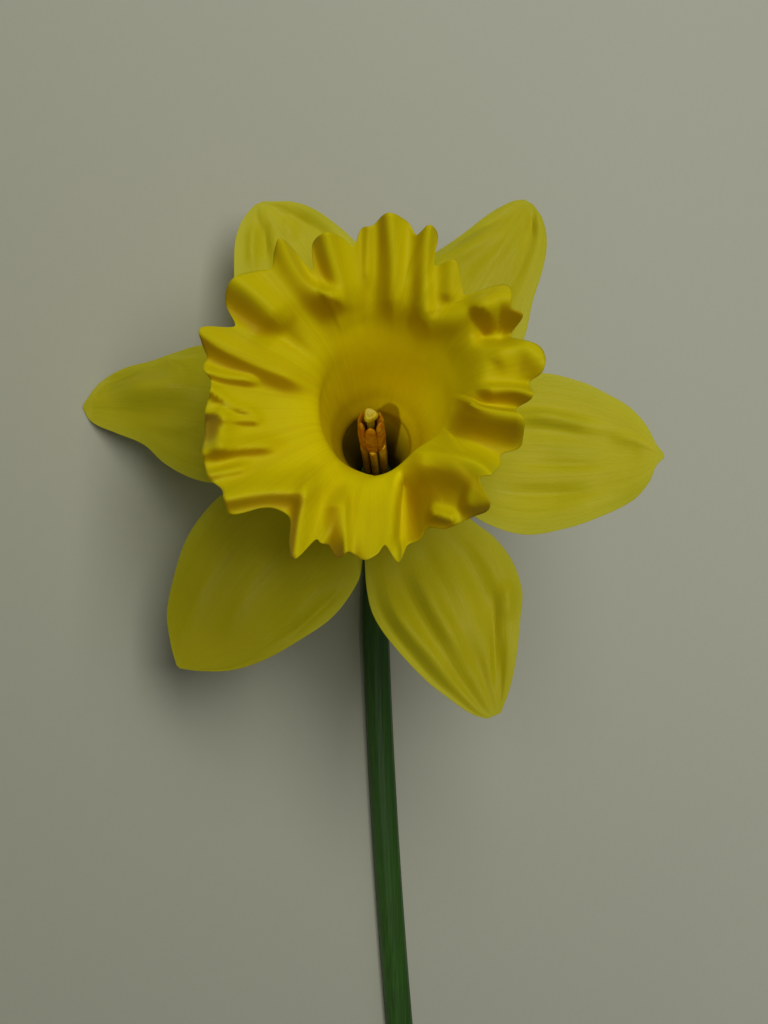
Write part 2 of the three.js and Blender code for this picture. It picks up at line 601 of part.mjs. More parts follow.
// ---------------------------------------------------------------- trumpet
// The frill at a place q, counted in frill points, on a closed smooth curve.
function frillAt(q, column) {
  const count = FRILL.length;
  const value = (k) => {
    const turns = Math.floor(k / count);
    const entry = FRILL[k - turns * count][column] ?? 0;
    return column === 0 ? entry + 360 * turns : entry;
  };
  const k = Math.floor(q);
  return curve([-1, 0, 1, 2].map((step) => [k + step, value(k + step)]), q);
}

// The wall at place q round the rim and station v from root to rim.
function trumpetPoint(q, v) {
  const rimAngle = frillAt(q, 0);
  const angle = rimAngle + frillAt(q, 3) * (1 - smoothstep(SHOULDER_AT, 1, v));
  const rimRadius = around(RIM, rimAngle, 1);
  const rimHeight = around(RIM, rimAngle, 2);
  const shift = Math.cos(angle * RADIANS);
  const radius = curve([
    ...NECK_STATIONS.map((station) => [station[0], station[1] + station[3] * shift]),
    [SHOULDER_AT, around(SHOULDER, angle, 1)],
    [FLARE_AT, around(FLARE, angle, 1)],
    [1, rimRadius],
  ], v);
  const height = curve([
    ...NECK_STATIONS.map((station) => [station[0], station[2]]),
    [SHOULDER_AT, SHOULDER_HEIGHT],
    [FLARE_AT, around(FLARE, angle, 2)],
    [1, rimHeight],
  ], v);
  const start = around(FOLD_STARTS, angle, 1);
  const fold = smoothstep(start, FOLD_FULL, v) / smoothstep(start, FOLD_FULL, 1);
  const out = Math.max(0, (v - SHOULDER_AT) / (1 - SHOULDER_AT)) ** 1.6;
  const r = radius + (frillAt(q, 1) - rimRadius) * out;
  const z = height + (frillAt(q, 2) - rimHeight) * fold;
  return new THREE.Vector3(r * Math.cos(angle * RADIANS), r * Math.sin(angle * RADIANS), z);
}

function trumpetBody() {
  const count = FRILL.length * SAMPLES_PER_FRILL_POINT;
  const grid = TRUMPET_STATIONS.map((v) => {
    const row = [];
    for (let k = 0; k < count; k += 1) row.push(trumpetPoint(k / SAMPLES_PER_FRILL_POINT, v));
    return row;
  });
  return blade(grid, TRUMPET_THICKNESS, true);
}

// ---------------------------------------------------------------- assembly
function piece(name, geometry, color, roughness) {
  const material = new THREE.MeshStandardMaterial({ color, roughness, metalness: 0 });
  const mesh = new THREE.Mesh(geometry, material);
  mesh.name = name;
  return mesh;
}

const YELLOW = 0xe3d51b;
const DEEP_YELLOW = 0xe6c800;
const LEAF_GREEN = 0x4f7a35;

const daffodil = new THREE.Group();
daffodil.add(piece('stem', stemBody(), LEAF_GREEN, 0.5));
daffodil.add(piece('spathe', spatheBody(), 0xb09468, 0.8));
bloom.add(piece('ovary', ovaryBody(), 0x5c8a3a, 0.5));
bloom.add(piece('flower_tube', tubeBody(), 0xb5bd3f, 0.55));
for (const tepal of TEPALS) bloom.add(piece(tepal.name, tepalBody(tepal), YELLOW, 0.6));
bloom.add(piece('trumpet', trumpetBody(), DEEP_YELLOW, 0.6));
bloom.add(piece('stamens', stamensBody(), 0xc98a12, 0.8));
bloom.add(piece('style', styleBody(), 0xdcd070, 0.5));
daffodil.add(bloom);

// The frame's origin is the middle of the bounding box's underside.
daffodil.updateMatrixWorld(true);
const box = new THREE.Box3().setFromObject(daffodil, true);
const middle = box.getCenter(new THREE.Vector3());
daffodil.position.set(-middle.x, -middle.y, -box.min.z);

export default daffodil;
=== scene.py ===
# The looks of one picked large-trumpet daffodil, lying on its stem and on the tip of its left tepal.
# Blades are built about the same middle surfaces as the solids of the frame, thinner and finer.
# Sizes are in millimetres until a mesh is made.
import math

import bpy
import numpy as np
from mathutils import Matrix, Vector


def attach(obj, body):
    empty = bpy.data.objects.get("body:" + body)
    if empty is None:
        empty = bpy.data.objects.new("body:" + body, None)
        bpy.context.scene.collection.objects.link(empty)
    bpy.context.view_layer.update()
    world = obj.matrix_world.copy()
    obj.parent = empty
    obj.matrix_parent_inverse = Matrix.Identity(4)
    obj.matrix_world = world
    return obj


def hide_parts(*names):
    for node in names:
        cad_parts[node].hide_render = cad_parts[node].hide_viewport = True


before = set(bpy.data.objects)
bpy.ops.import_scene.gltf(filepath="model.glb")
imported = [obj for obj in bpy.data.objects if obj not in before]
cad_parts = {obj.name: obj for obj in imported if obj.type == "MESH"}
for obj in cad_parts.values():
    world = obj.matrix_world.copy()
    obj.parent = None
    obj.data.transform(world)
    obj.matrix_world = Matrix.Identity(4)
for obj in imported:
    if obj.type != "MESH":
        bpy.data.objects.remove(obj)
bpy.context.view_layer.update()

# ---- how the flower lies
ROLL = math.radians(37.6)  # the bloom's turn about the stem, away from straight up
NOD = math.radians(13.5)  # the trumpet's lean past square to the stem
CONTACT_SOFTNESS = 0.3  # over what height a blade's underside levels out at the surface
TUBE_BOTTOM = -21.0  # the lower end of tube and style, below the tepals' plane

X, Y, Z = np.eye(3)
FACE = np.array([-math.sin(ROLL), 0.0, math.cos(ROLL)])
SIDE = np.array([math.cos(ROLL), 0.0, math.sin(ROLL)])
AXIS = FACE * math.cos(NOD) + Y * math.sin(NOD)
UPWARD = np.cross(AXIS, SIDE)


# ---- the flower's sizes
STEM_LENGTH = 165
STEM_WIDTH = 5.4
STEM_HEIGHT = 4.8
STEM_SLANT = 0.03
STEM_CURVE = 0.0004
STEM_ASIDE = 0.9  # how far left it has moved at STEM_ASIDE_BY behind the neck
STEM_ASIDE_BY = 18
BEND_RADIUS = 10
PEDICEL_RADIUS = 1.55
PEDICEL_STARTS = 0.1
PEDICEL_SWELL = 0.7
SWELL_STARTS = 0.6
SEAT = 0.3
TUBE_TOP = -SEAT
OVARY_LENGTH = 12.7
OVARY_RADIUS = 3.9
OVARY_LOBE = 0.05
SPATHE_LENGTH = 38
SPATHE_START = 12
SPATHE_DRIFT = 3.5
SPATHE_CREASE = 0.05
SPATHE_CREASES = 9
SPATHE_TWIST = 4
ANTHER_BOTTOM = 2
ANTHER_TOP = 17.5
ANTHER_CIRCLE = 1.8
ANTHER_WIDTH = 2.1
ANTHER_DEPTH = 1.25
FILAMENT_WIDTH = 1.3
STYLE_RADIUS = 0.7
COLUMN_LEAN = 0.9  # how far style and stamens lean to the left at the stigma
STIGMA_BOTTOM = 17.9
STIGMA_TOP = 20.6
STIGMA_SWELL = 0.8
STIGMA_LOBE = 0.3
TEPAL_ROOT = 7.8
RELIEF_STARTS = 17
RELIEF_FULL = 30
RELIEF_WIDTHS = (1, 9)
SHOULDER_AT = 0.62
SHOULDER_HEIGHT = 28
FLARE_AT = 0.8
FOLD_FULL = 1.15  # the station, past the rim, where a fold would be at its full height


# ---- the camera's place
DISTANCE = 355.5  # from the plane that the tepals spread in, along the view
CENTRE_ASIDE = 1.43  # the picture's middle, beside and below the bloom's own middle
CENTRE_BELOW = 11.78


# ---- the flower's shape, as in the source
# "ccw" and "cw" are [distance from the axis, half width] on either side of the midrib, "rise" is
# [distance, height], and "middle" and "end" are [place across, height] of the relief halfway to
# the tip and near it.
TEPALS = [
  {
    "name": "tepal_inner_left", "angle": 171.3,
    "ccw": [
      [14, 8], [20, 10.6], [27, 11.2], [32, 10.6], [37, 8.6], [41, 5.9], [46.5, 4.3], [51, 2.9],
      [54.8, 0.4],
    ],
    "cw": [
      [14, 9], [20, 12.4], [28, 13.9], [34.5, 13.4], [38.5, 11.6], [42.5, 9.6], [48, 7.5], [52, 4.4],
      [54.8, 0.4],
    ],
    "rise": [[26, 2.0], [40, 0.4], [55, -3.2]],
    "middle": [
      [-1, -0.2], [-0.86, -1.0], [-0.62, -0.3], [-0.25, 0.9], [0, 0.3], [0.45, -0.9], [0.7, -1.0],
      [1, -1.9],
    ],
    "end": [[-1, -0.4], [-0.8, -0.7], [-0.3, 0.5], [0, 0.2], [0.5, -0.3], [1, -0.9]],
  },
  {
    "name": "tepal_outer_upper_left", "angle": 115.2,
    "ccw": [
      [14, 8.6], [20, 12], [28, 13], [35, 11.8], [40, 9.7], [45.3, 7.1], [48, 4.8], [49.6, 2.5],
      [50.3, 0.8],
    ],
    "cw": [
      [14, 8.6], [20, 12.2], [29, 14.2], [36.2, 13.1], [41, 11.2], [45, 8.8], [48, 5.6], [49.4, 2.8],
      [50.3, 0.8],
    ],
    "rise": [[28, 0.1], [42, 0.2], [50.3, 2.0]],
    "middle": [
      [-1, -0.1], [-0.85, 0.2], [-0.55, -0.6], [0, 0.7], [0.12, 0.8], [0.3, -0.1], [0.65, 0.6], [1, 1.3],
    ],
    "end": [[-1, 0.9], [-0.8, 0.6], [-0.5, -0.3], [0.05, 0.8], [0.3, -0.2], [0.65, 0.5], [1, 1.2]],
  },
  {
    "name": "tepal_inner_upper_right", "angle": 58.5,
    "ccw": [
      [14, 8.6], [20, 11.6], [27, 12.2], [33, 11], [38, 8.8], [43, 6.8], [48, 4.9], [52, 2.6],
      [53.4, 1.0],
    ],
    "cw": [
      [14, 8.6], [20, 12], [27, 13], [31.5, 12.3], [37, 10.4], [43, 8.9], [48, 6.9], [51.8, 3.8],
      [53.4, 1.0],
    ],
    "rise": [[28, 2.5], [42, 3.4], [53.4, 2.4]],
    "middle": [
      [-1, -0.5], [-0.72, 0.1], [-0.5, -0.3], [-0.1, 0.5], [0.35, 0.2], [0.7, 0.6], [0.85, 0], [1, -1.4],
    ],
    "end": [
      [-1, 0.2], [-0.75, 0.7], [-0.5, -0.5], [-0.1, 0.5], [0.4, 0.3], [0.7, 0.5], [0.85, -0.2], [1, -1.2],
    ],
  },
  {
    "name": "tepal_outer_right", "angle": -2.5,
    "ccw": [
      [14, 9.4], [20, 12.8], [29, 14.4], [36.5, 13.1], [41, 11.2], [45, 8.9], [48, 5.6], [49.8, 2.2],
      [51.2, 0.4],
    ],
    "cw": [
      [14, 9.4], [20, 13.3], [27, 15.1], [34, 13.7], [40, 11.3], [46.2, 7.8], [48.8, 4.6], [49.8, 2.0],
      [51.2, 0.4],
    ],
    "rise": [[28, 0.3], [42, 0.6], [51.2, 1.6]],
    "middle": [
      [-1, -0.2], [-0.8, 0.4], [-0.55, -0.5], [-0.3, 0.5], [-0.05, 0.1], [0.1, 0.4], [0.3, 0], [0.43, 1],
      [0.56, 0.2], [1, 1.3],
    ],
    "end": [[-1, -1], [-0.7, 0.1], [-0.4, 0.2], [-0.1, 0], [0.2, -0.4], [0.45, 0.2], [0.7, 0.5], [1, 0.1]],
  },
  {
    "name": "tepal_inner_lower_right", "angle": -67.1,
    "ccw": [
      [14, 8], [19.4, 10], [24, 12.5], [29.5, 13.7], [34.8, 13], [38.6, 11], [44.5, 7.7], [49.5, 4.2],
      [52.6, 1.2],
    ],
    "cw": [
      [14, 8.2], [19.2, 10.2], [24, 11.8], [28.5, 12.5], [34, 11.6], [42.3, 8.7], [47, 6.1], [51, 3.4],
      [52.6, 1.4],
    ],
    "rise": [[28, 2.3], [42, 2.4], [52.6, 1.0]],
    "middle": [
      [-1, 0.2], [-0.88, -0.4], [-0.7, 0.7], [-0.46, -0.5], [-0.22, 0.8], [0, -0.4], [0.22, 0.8],
      [0.5, -0.6], [0.72, 0.5], [1, -0.4],
    ],
    "end": [
      [-1, 0], [-0.85, -0.3], [-0.62, 0.6], [-0.4, -0.4], [-0.12, 0.6], [0.12, -0.3], [0.36, 0.4],
      [0.6, -0.8], [0.78, 0.3], [1, 0.4],
    ],
  },
  {
    "name": "tepal_outer_lower_left", "angle": 228.5,
    "ccw": [
      [14, 9.6], [17, 11.9], [20.5, 14], [28, 14.9], [34.8, 13.3], [42, 10.6], [47, 7.3], [50.6, 3.2],
      [52.4, 0.4],
    ],
    "cw": [
      [14, 9.8], [18, 12.5], [24.3, 14.6], [29.2, 15], [35, 14.1], [42, 10.9], [47, 7.7], [50.6, 3.3],
      [52.4, 0.4],
    ],
    "rise": [[26, 0], [40, -1.4], [52.4, -3.6]],
    "middle": [
      [-1, -1.2], [-0.7, -0.2], [-0.45, -0.3], [-0.2, 0.1], [0.1, 0], [0.55, 0.9], [0.78, 0.7],
      [0.86, 0.2], [1, 0.3],
    ],
    "end": [[-1, -0.9], [-0.5, -0.1], [0, 0], [0.5, 0.1], [0.85, 0], [0.93, -0.2], [1, -0.1]],
  },
]
# The trumpet's edge: [angle, radius, height, how many degrees further round the wall below it is].
FRILL = [
  [4, 27, 40.4, 2], [12, 27.2, 40.4, 5], [20, 23.4, 37, 9], [25, 26.2, 39, 12], [30, 25.2, 38, 15],
  [37, 26.8, 41, 18], [45, 21.4, 36, 19], [50, 21.8, 38, 18], [57.5, 24.2, 40.5, 14],
  [64.5, 22.4, 36, 10], [67.7, 26.8, 39.8, 8.5], [71.5, 27.6, 41.2, 6.5], [75, 26, 37.8, 4.5],
  [79, 27.8, 39.3, 2.5], [86, 28.3, 41.3], [91, 26.8, 37.5], [95, 26.3, 38.8], [98.5, 23.7, 37.2],
  [103, 25.3, 38.8], [108, 26, 41.2], [113.5, 25.5, 39, -1], [118, 21.9, 36.2, -3],
  [122.3, 27.8, 41.3, -5], [126.5, 27.2, 39, -6.5], [131, 25.5, 36.8, -6.5], [136, 26.8, 39, -4.5],
  [141.5, 28, 41, -2], [146, 28.6, 37.4, -2], [151, 27.6, 35.6, -4], [157, 24.6, 37.2, -6],
  [162.3, 29.1, 41, -2], [166.5, 28.6, 38.4], [170.5, 27.5, 36.6], [174.8, 27.8, 39.3],
  [178.5, 26.5, 37.9], [183, 26.4, 39], [190.5, 27.9, 36.4], [196, 28.6, 38], [201.5, 29.6, 39.8],
  [207.5, 30.4, 36.6], [211.5, 30.6, 37.8], [215.7, 29.8, 36.2], [220, 30.8, 39.5], [224, 31.4, 40.8],
  [228.6, 27.4, 37.6], [233, 25.8, 36.2], [239, 26, 36], [243.5, 30, 39.2], [246.8, 31.6, 40.8],
  [249.8, 27.4, 37.4], [252, 27.6, 38.3], [254.7, 27.6, 36.2], [258.3, 29.1, 35.2], [261.6, 28, 38.8],
  [266.5, 29.2, 40.1], [270.6, 28.2, 39.2], [273.6, 26.6, 37.4, 1], [277.2, 29.8, 40.4, 3],
  [281, 27.2, 38, 5], [285.5, 26.6, 35.4, 7], [289.8, 25.1, 35.8, 7.5], [294.7, 26.4, 37.8, 6.5],
  [300, 26.5, 36.6, 5], [305.5, 26.9, 37.6, 3.5], [311, 27.3, 40.8, 2], [315.7, 22.8, 36.8],
  [320, 23.8, 39], [325, 24.2, 40.6], [329.7, 23.2, 37.2], [335, 25.3, 36.8], [340, 25, 37.8],
  [344.5, 24.3, 39.5], [349, 22.8, 37], [353.5, 25, 38.8], [357, 25.1, 40], [360.6, 24.8, 37.3],
]
# The trumpet's smooth rings: [angle, radius, height], and [angle, radius] for the shoulder.
RIM = [
  [0, 25.6, 38.2], [45, 24.4, 38.2], [90, 26.2, 38.6], [135, 27, 38.4], [180, 28, 38], [225, 29, 37.8],
  [270, 28, 38], [315, 25.4, 38],
]
FLARE = [
  [0, 17.6, 35.4], [45, 17.4, 34.8], [90, 17, 33.4], [135, 17.4, 33], [180, 18, 33], [225, 19, 33.2],
  [270, 20.5, 33.8], [315, 17.6, 35.2],
]
SHOULDER = [
  [0, 13.2], [45, 14], [90, 13.6], [135, 11.6], [180, 10.2], [216, 11.2], [239, 12.8], [254, 14.6],
  [276, 13.2], [307, 11], [330, 11.8],
]
# [angle, station where the frill's folds begin]. A station is 0 at the root and 1 at the rim.
FOLD_STARTS = [
  [0, 0.5], [45, 0.5], [90, 0.5], [118, 0.58], [150, 0.56], [170, 0.66], [188, 0.76], [215, 0.76],
  [226, 0.68], [238, 0.6], [270, 0.6], [300, 0.5], [330, 0.46],
]
# [station, radius, height, how far the ring moves to the right].
NECK_STATIONS = [[0, 7, 0, 0], [0.12, 7.9, 5, 0.1], [0.28, 9.3, 12, 0.6], [0.45, 10.9, 20, 1.2]]
# [share of the spathe's length, and its radius, its degrees round the stem or its height].
SPATHE_RADIUS = [[0, 2.15], [0.15, 2.4], [0.35, 4.6], [0.6, 5.6], [0.85, 4.4], [1, 2.2]]
SPATHE_WRAP = [[0, 285], [0.05, 235], [0.1, 205], [0.35, 170], [0.6, 130], [0.85, 70], [1, 8]]
SPATHE_HEIGHT = [[0, 0], [0.2, 0.6], [0.45, 3.6], [0.75, 5.2], [1, 4.4]]
# What comes before "ccw" or "cw", and before "rise", at the tepals' roots.
ROOT_WIDTHS = [[7.8, 3.6], [10, 5.3], [11.5, 6.4]]
OUTER_ROOT_RISE = [[7.8, 0.35], [16, 0.25]]
INNER_ROOT_RISE = [[7.8, 0.35], [10, 0.8], [12.5, 1.6], [16, 2.0]]
# [radius, height] up the tube, and [share of the ovary's length, share of its radius].
TUBE_OUTSIDE = [[3.9, TUBE_BOTTOM], [4.6, -13], [5.6, -7.5], [7.2, -3.2]]
OVARY_SHAPE = [[0, 0.55], [0.12, 0.78], [0.35, 0.97], [0.6, 1], [0.85, 0.9], [1, 0.8]]


# ---- numbers and curves
RIPPLE_OCTAVES = 3
RIPPLE_WAVES = 4  # in each octave


def smoothstep(low, high, x):
    t = np.clip((np.asarray(x, float) - low) / (high - low), 0, 1)
    return t * t * (3 - 2 * t)


def hermite(y0, y1, slope0, slope1, t):
    t2, t3 = t * t, t * t * t
    from_first = (2 * t3 - 3 * t2 + 1) * y0 + (t3 - 2 * t2 + t) * slope0
    return from_first + (3 * t2 - 2 * t3) * y1 + (t3 - t2) * slope1


def curve(knots, x):
    """A smooth curve through [x, y] knots, level beyond its ends, at an array of places."""
    kx, ky = np.asarray(knots, float).T
    slopes = np.empty(len(kx))
    slopes[1:-1] = (ky[2:] - ky[:-2]) / (kx[2:] - kx[:-2])
    slopes[0] = (ky[1] - ky[0]) / (kx[1] - kx[0])
    slopes[-1] = (ky[-1] - ky[-2]) / (kx[-1] - kx[-2])
    x = np.clip(x, kx[0], kx[-1])
    i = np.clip(np.searchsorted(kx, x, side="right") - 1, 0, len(kx) - 2)
    width = kx[i + 1] - kx[i]
    return hermite(ky[i], ky[i + 1], slopes[i] * width, slopes[i + 1] * width, (x - kx[i]) / width)


def smooth_line(points, steps):
    """Places along a smooth line through the points of a plane."""
    points = np.array(points, float)
    order = np.arange(len(points))
    u = np.linspace(0, len(points) - 1, steps)
    return np.stack([curve(np.stack([order, values], axis=1), u) for values in points.T], axis=1)


def through(places, values, x):
    """The same curve at one place x, through knots whose values are arrays."""
    last = len(places) - 1
    i = min(last - 1, max(0, int(np.searchsorted(places, x, side="right")) - 1))

    def slope(k):
        before, after = max(0, k - 1), min(last, k + 1)
        return (values[after] - values[before]) / (places[after] - places[before])

    width = places[i + 1] - places[i]
    t = (x - places[i]) / width
    return hermite(values[i], values[i + 1], slope(i) * width, slope(i + 1) * width, t)


def around(rows, angle, column):
    """A value round the full turn, from [angle, ...values] rows."""
    knots = [[row[0] + turn, row[column]] for turn in (-360, 0, 360) for row in rows]
    return curve(knots, np.mod(angle, 360))


def ripple(x, y, seed):
    """Smooth, seeded unevenness between about -1 and 1."""
    rng = np.random.default_rng(seed)
    total = np.zeros(np.broadcast(x, y).shape)
    for octave in range(RIPPLE_OCTAVES):
        scale = 2.0**octave
        for _ in range(RIPPLE_WAVES):
            kx = rng.uniform(0.5, 1.2) * scale
            ky = rng.uniform(-1, 1) * scale
            phase = rng.uniform(0, 2 * math.pi)
            total += np.sin(kx * x + ky * y + phase) / (3 * scale)
    return total


# ---- meshes
def make_mesh(name, points, faces, fields=None, smooth=True):
    """An object from points in the row frame in millimetres, faces outward, with named point fields."""
    mesh = bpy.data.meshes.new(name)
    mesh.from_pydata((np.asarray(points) / 1000).tolist(), [], [list(map(int, face)) for face in faces])
    for key, values in (fields or {}).items():
        attribute = mesh.attributes.new(key, "FLOAT", "POINT")
        attribute.data.foreach_set("value", np.asarray(values, np.float32))
    mesh.polygons.foreach_set("use_smooth", [smooth] * len(mesh.polygons))
    mesh.update()
    piece = bpy.data.objects.new(name, mesh)
    bpy.context.collection.objects.link(piece)
    return piece


def outward(points, faces):
    """The faces, all turned over if they enclose a negative volume. A face has three or four corners."""
    volume = 0.0
    for size in (3, 4):
        chosen = [face for face in faces if len(face) == size]
        if not chosen:
            continue
        corners = points[np.array(chosen)]
        for k in range(1, size - 1):
            volume += np.einsum("ij,ij->", corners[:, 0], np.cross(corners[:, k], corners[:, k + 1]))
    return faces if volume > 0 else [face[::-1] for face in faces]


def grid_faces(rows, columns, ringed):
    i, j = np.meshgrid(np.arange(rows - 1), np.arange(columns if ringed else columns - 1), indexing="ij")
    a = i * columns + j
    b = i * columns + (j + 1) % columns
    return np.stack([a, b, b + columns, a + columns], axis=-1).reshape(-1, 4)


def blade(name, middle, half, fields, ringed=False):
    """A closed thin solid about a grid of middle points, with its half thickness at each point."""
    rows, columns = middle.shape[:2]
    along = np.gradient(middle, axis=0)
    if ringed:
        across = np.roll(middle, -1, axis=1) - np.roll(middle, 1, axis=1)
    else:
        across = np.gradient(middle, axis=1)
    normal = np.cross(along, across)
    normal /= np.maximum(np.linalg.norm(normal, axis=2, keepdims=True), 1e-9)
    offset = normal * half[..., None]
    points = np.concatenate([(middle + offset).reshape(-1, 3), (middle - offset).reshape(-1, 3)])
    size = rows * columns
    front = grid_faces(rows, columns, ringed)
    faces = [front, size + front[:, ::-1]]

    def border(a, b):
        faces.append(np.stack([b, a, size + a, size + b], axis=-1))

    j = np.arange(columns if ringed else columns - 1)
    border(j, (j + 1) % columns)
    border((rows - 1) * columns + (j + 1) % columns, (rows - 1) * columns + j)
    if not ringed:
        i = np.arange(rows - 1)
        border((i + 1) * columns, i * columns)
        border(i * columns + columns - 1, (i + 1) * columns + columns - 1)
    faces = outward(points, np.concatenate(faces).tolist())
    doubled = {key: np.concatenate([values.ravel()] * 2) for key, values in fields.items()}
    return make_mesh(name, points, faces, doubled)


def loft(name, rings, fields=None):
    """A closed solid through rings of points, with a fan over each end."""
    rings = np.asarray(rings)
    count, sides = rings.shape[:2]
    points = np.concatenate([rings.reshape(-1, 3), rings[[0, -1]].mean(axis=1)])
    faces = grid_faces(count, sides, True).tolist()
    first, last = count * sides, count * sides + 1
    for k in range(sides):
        after = (k + 1) % sides
        faces.append([first, after, k])
        faces.append([last, (count - 1) * sides + k, (count - 1) * sides + after])
    doubled = {}
    for key, values in (fields or {}).items():
        values = np.asarray(values, float).reshape(count, sides)
        doubled[key] = np.concatenate([values.ravel(), [values[0].mean(), values[-1].mean()]])
    return make_mesh(name, points, outward(points, faces), doubled)


# ---- places in the row frame
def axis_point(node, height):
    """The point of the bloom's axis at a height, from the lower end of a straight round node on it."""
    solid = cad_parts[node]
    corners = np.array([solid.matrix_world @ v.co for v in solid.data.vertices]) * 1000
    along = corners @ AXIS
    lowest = corners[along < along.min() + 0.05]
    middle = [(lowest @ d).min() / 2 + (lowest @ d).max() / 2 for d in (SIDE, UPWARD, AXIS)]
    return SIDE * middle[0] + UPWARD * middle[1] + AXIS * (middle[2] + height)


BLOOM = axis_point("style", -TUBE_BOTTOM)
BEND_ANGLE = math.pi / 2 - NOD


def on_bend_from_neck(angle):
    return Y * BEND_RADIUS * math.sin(angle) + FACE * BEND_RADIUS * (1 - math.cos(angle))


NECK = BLOOM - on_bend_from_neck(BEND_ANGLE) - AXIS * (OVARY_LENGTH + 2 * SEAT - TUBE_BOTTOM)


def on_bend(angle):
    return NECK + on_bend_from_neck(angle)


def in_bloom(x, y, z):
    """Points given beside, above and along the bloom's axis, in the row frame."""
    return BLOOM + x[..., None] * SIDE + y[..., None] * UPWARD + z[..., None] * AXIS


def settled(points, thickness):
    """Lifts middle points so that the blade lies on the surface instead of passing through it."""
    lift = (points[..., 2] - thickness / 2) / CONTACT_SOFTNESS
    height = thickness / 2 + CONTACT_SOFTNESS * np.logaddexp(0, lift)
    return np.concatenate([points[..., :2], height[..., None]], axis=-1)


# ---- crests, as the camera sees them
# A crest is [lift, width of its lit side, width of its shaded side, points along it], in mm on the
# rim's plane from the rim's middle. The shaded side is to the right of the way the points run.
RIM_HEIGHT = 38.0
CREST_STEPS = 10  # from each point to the next
CREST_POWER = 1.8  # 2 is a rounded crest, 1 a sharp one
CREST_TOP = 0.4  # half the width over which one side's width turns into the other's


def seen_from_camera(x, y, z):
    """Where the camera sees points of the bloom, in mm on the rim's plane, from the rim's middle."""
    across = y * math.cos(NOD) + z * math.sin(NOD)
    depth = DISTANCE - (z * math.cos(NOD) - y * math.sin(NOD))
    scale = (DISTANCE - RIM_HEIGHT * math.cos(NOD)) / depth
    u = CENTRE_ASIDE + (x - CENTRE_ASIDE) * scale
    w = (across + CENTRE_BELOW) * scale - CENTRE_BELOW - RIM_HEIGHT * math.sin(NOD)
    return u, w


def lengths(line):
    return np.hypot(*np.diff(line, axis=0).T)


def crest_line(path, run_on):
    """Points close together along a crest, and how far along it each one is, from its inner end.

    The inner end is the one nearer the middle. The line runs on past it by a share of its length.
    """
    line = smooth_line(path, CREST_STEPS * (len(path) - 1) + 1)
    begins_inside = np.hypot(*line[0]) < np.hypot(*line[-1])
    if run_on:
        end, before = (line[0], line[1]) if begins_inside else (line[-1], line[-2])
        onward = end - before
        end = end + onward * (run_on * lengths(line).sum()) / np.hypot(*onward)
        line = np.vstack([[end], line] if begins_inside else [line, [end]])
    places = np.concatenate([[0], np.cumsum(lengths(line))])
    places = places / places[-1]
    return line, places if begins_inside else 1 - places


def crest_lift(crests, u, w, run_on, fades):
    """How far a list of crests lifts the places that the camera sees at u, w.

    Each fades in over the first share of its length in fades, from its inner end, and out over the
    second, which may be nothing.
    """
    total = np.zeros_like(u)
    for lift, lit_width, shade_width, path in crests:
        line, places = crest_line(path, run_on)
        nearest = np.full(u.shape, np.inf)
        place = np.zeros_like(u)
        for k in range(len(line) - 1):
            start, run = line[k], line[k + 1] - line[k]
            length = np.hypot(*run)
            du, dw = u - start[0], w - start[1]
            share = np.clip((du * run[0] + dw * run[1]) / length**2, 0, 1)
            right = (du * run[1] - dw * run[0]) / length
            away = np.hypot(du - share * run[0], dw - share * run[1])
            away /= lit_width + (shade_width - lit_width) * smoothstep(-CREST_TOP, CREST_TOP, right)
            place = np.where(away < nearest, places[k] + (places[k + 1] - places[k]) * share, place)
            nearest = np.minimum(nearest, away)
        fade = smoothstep(0, fades[0], place)
        if fades[1]:
            fade = fade * (1 - smoothstep(1 - fades[1], 1, place))
        total += lift * np.exp(-(nearest**CREST_POWER)) * fade
    return total


# ---- tepals
TEPAL_SHEET = 0.36  # thickness along the midrib
TEPAL_EDGE = 0.12  # and at the margin
TEPAL_ROWS = 130
TEPAL_ROWS_CROWD = 1.35  # above 1 the rows crowd towards the tip
TEPAL_COLUMNS = 72
TEPAL_COLUMNS_CROWD = 0.96  # towards 1 the columns crowd towards the margins
TEPAL_THINS_AT = 0.93
RELIEF_TURNS = (0.5, 0.9)  # shares of the way to the tip, from "middle" to "end"
SHADE_PAINT_TURNS = (28, 44)  # mm from the axis
TIP_PLAIN = 5  # the last mm, where the crests die away
TEPAL_CREST_FADES = (0.4, 0.4)
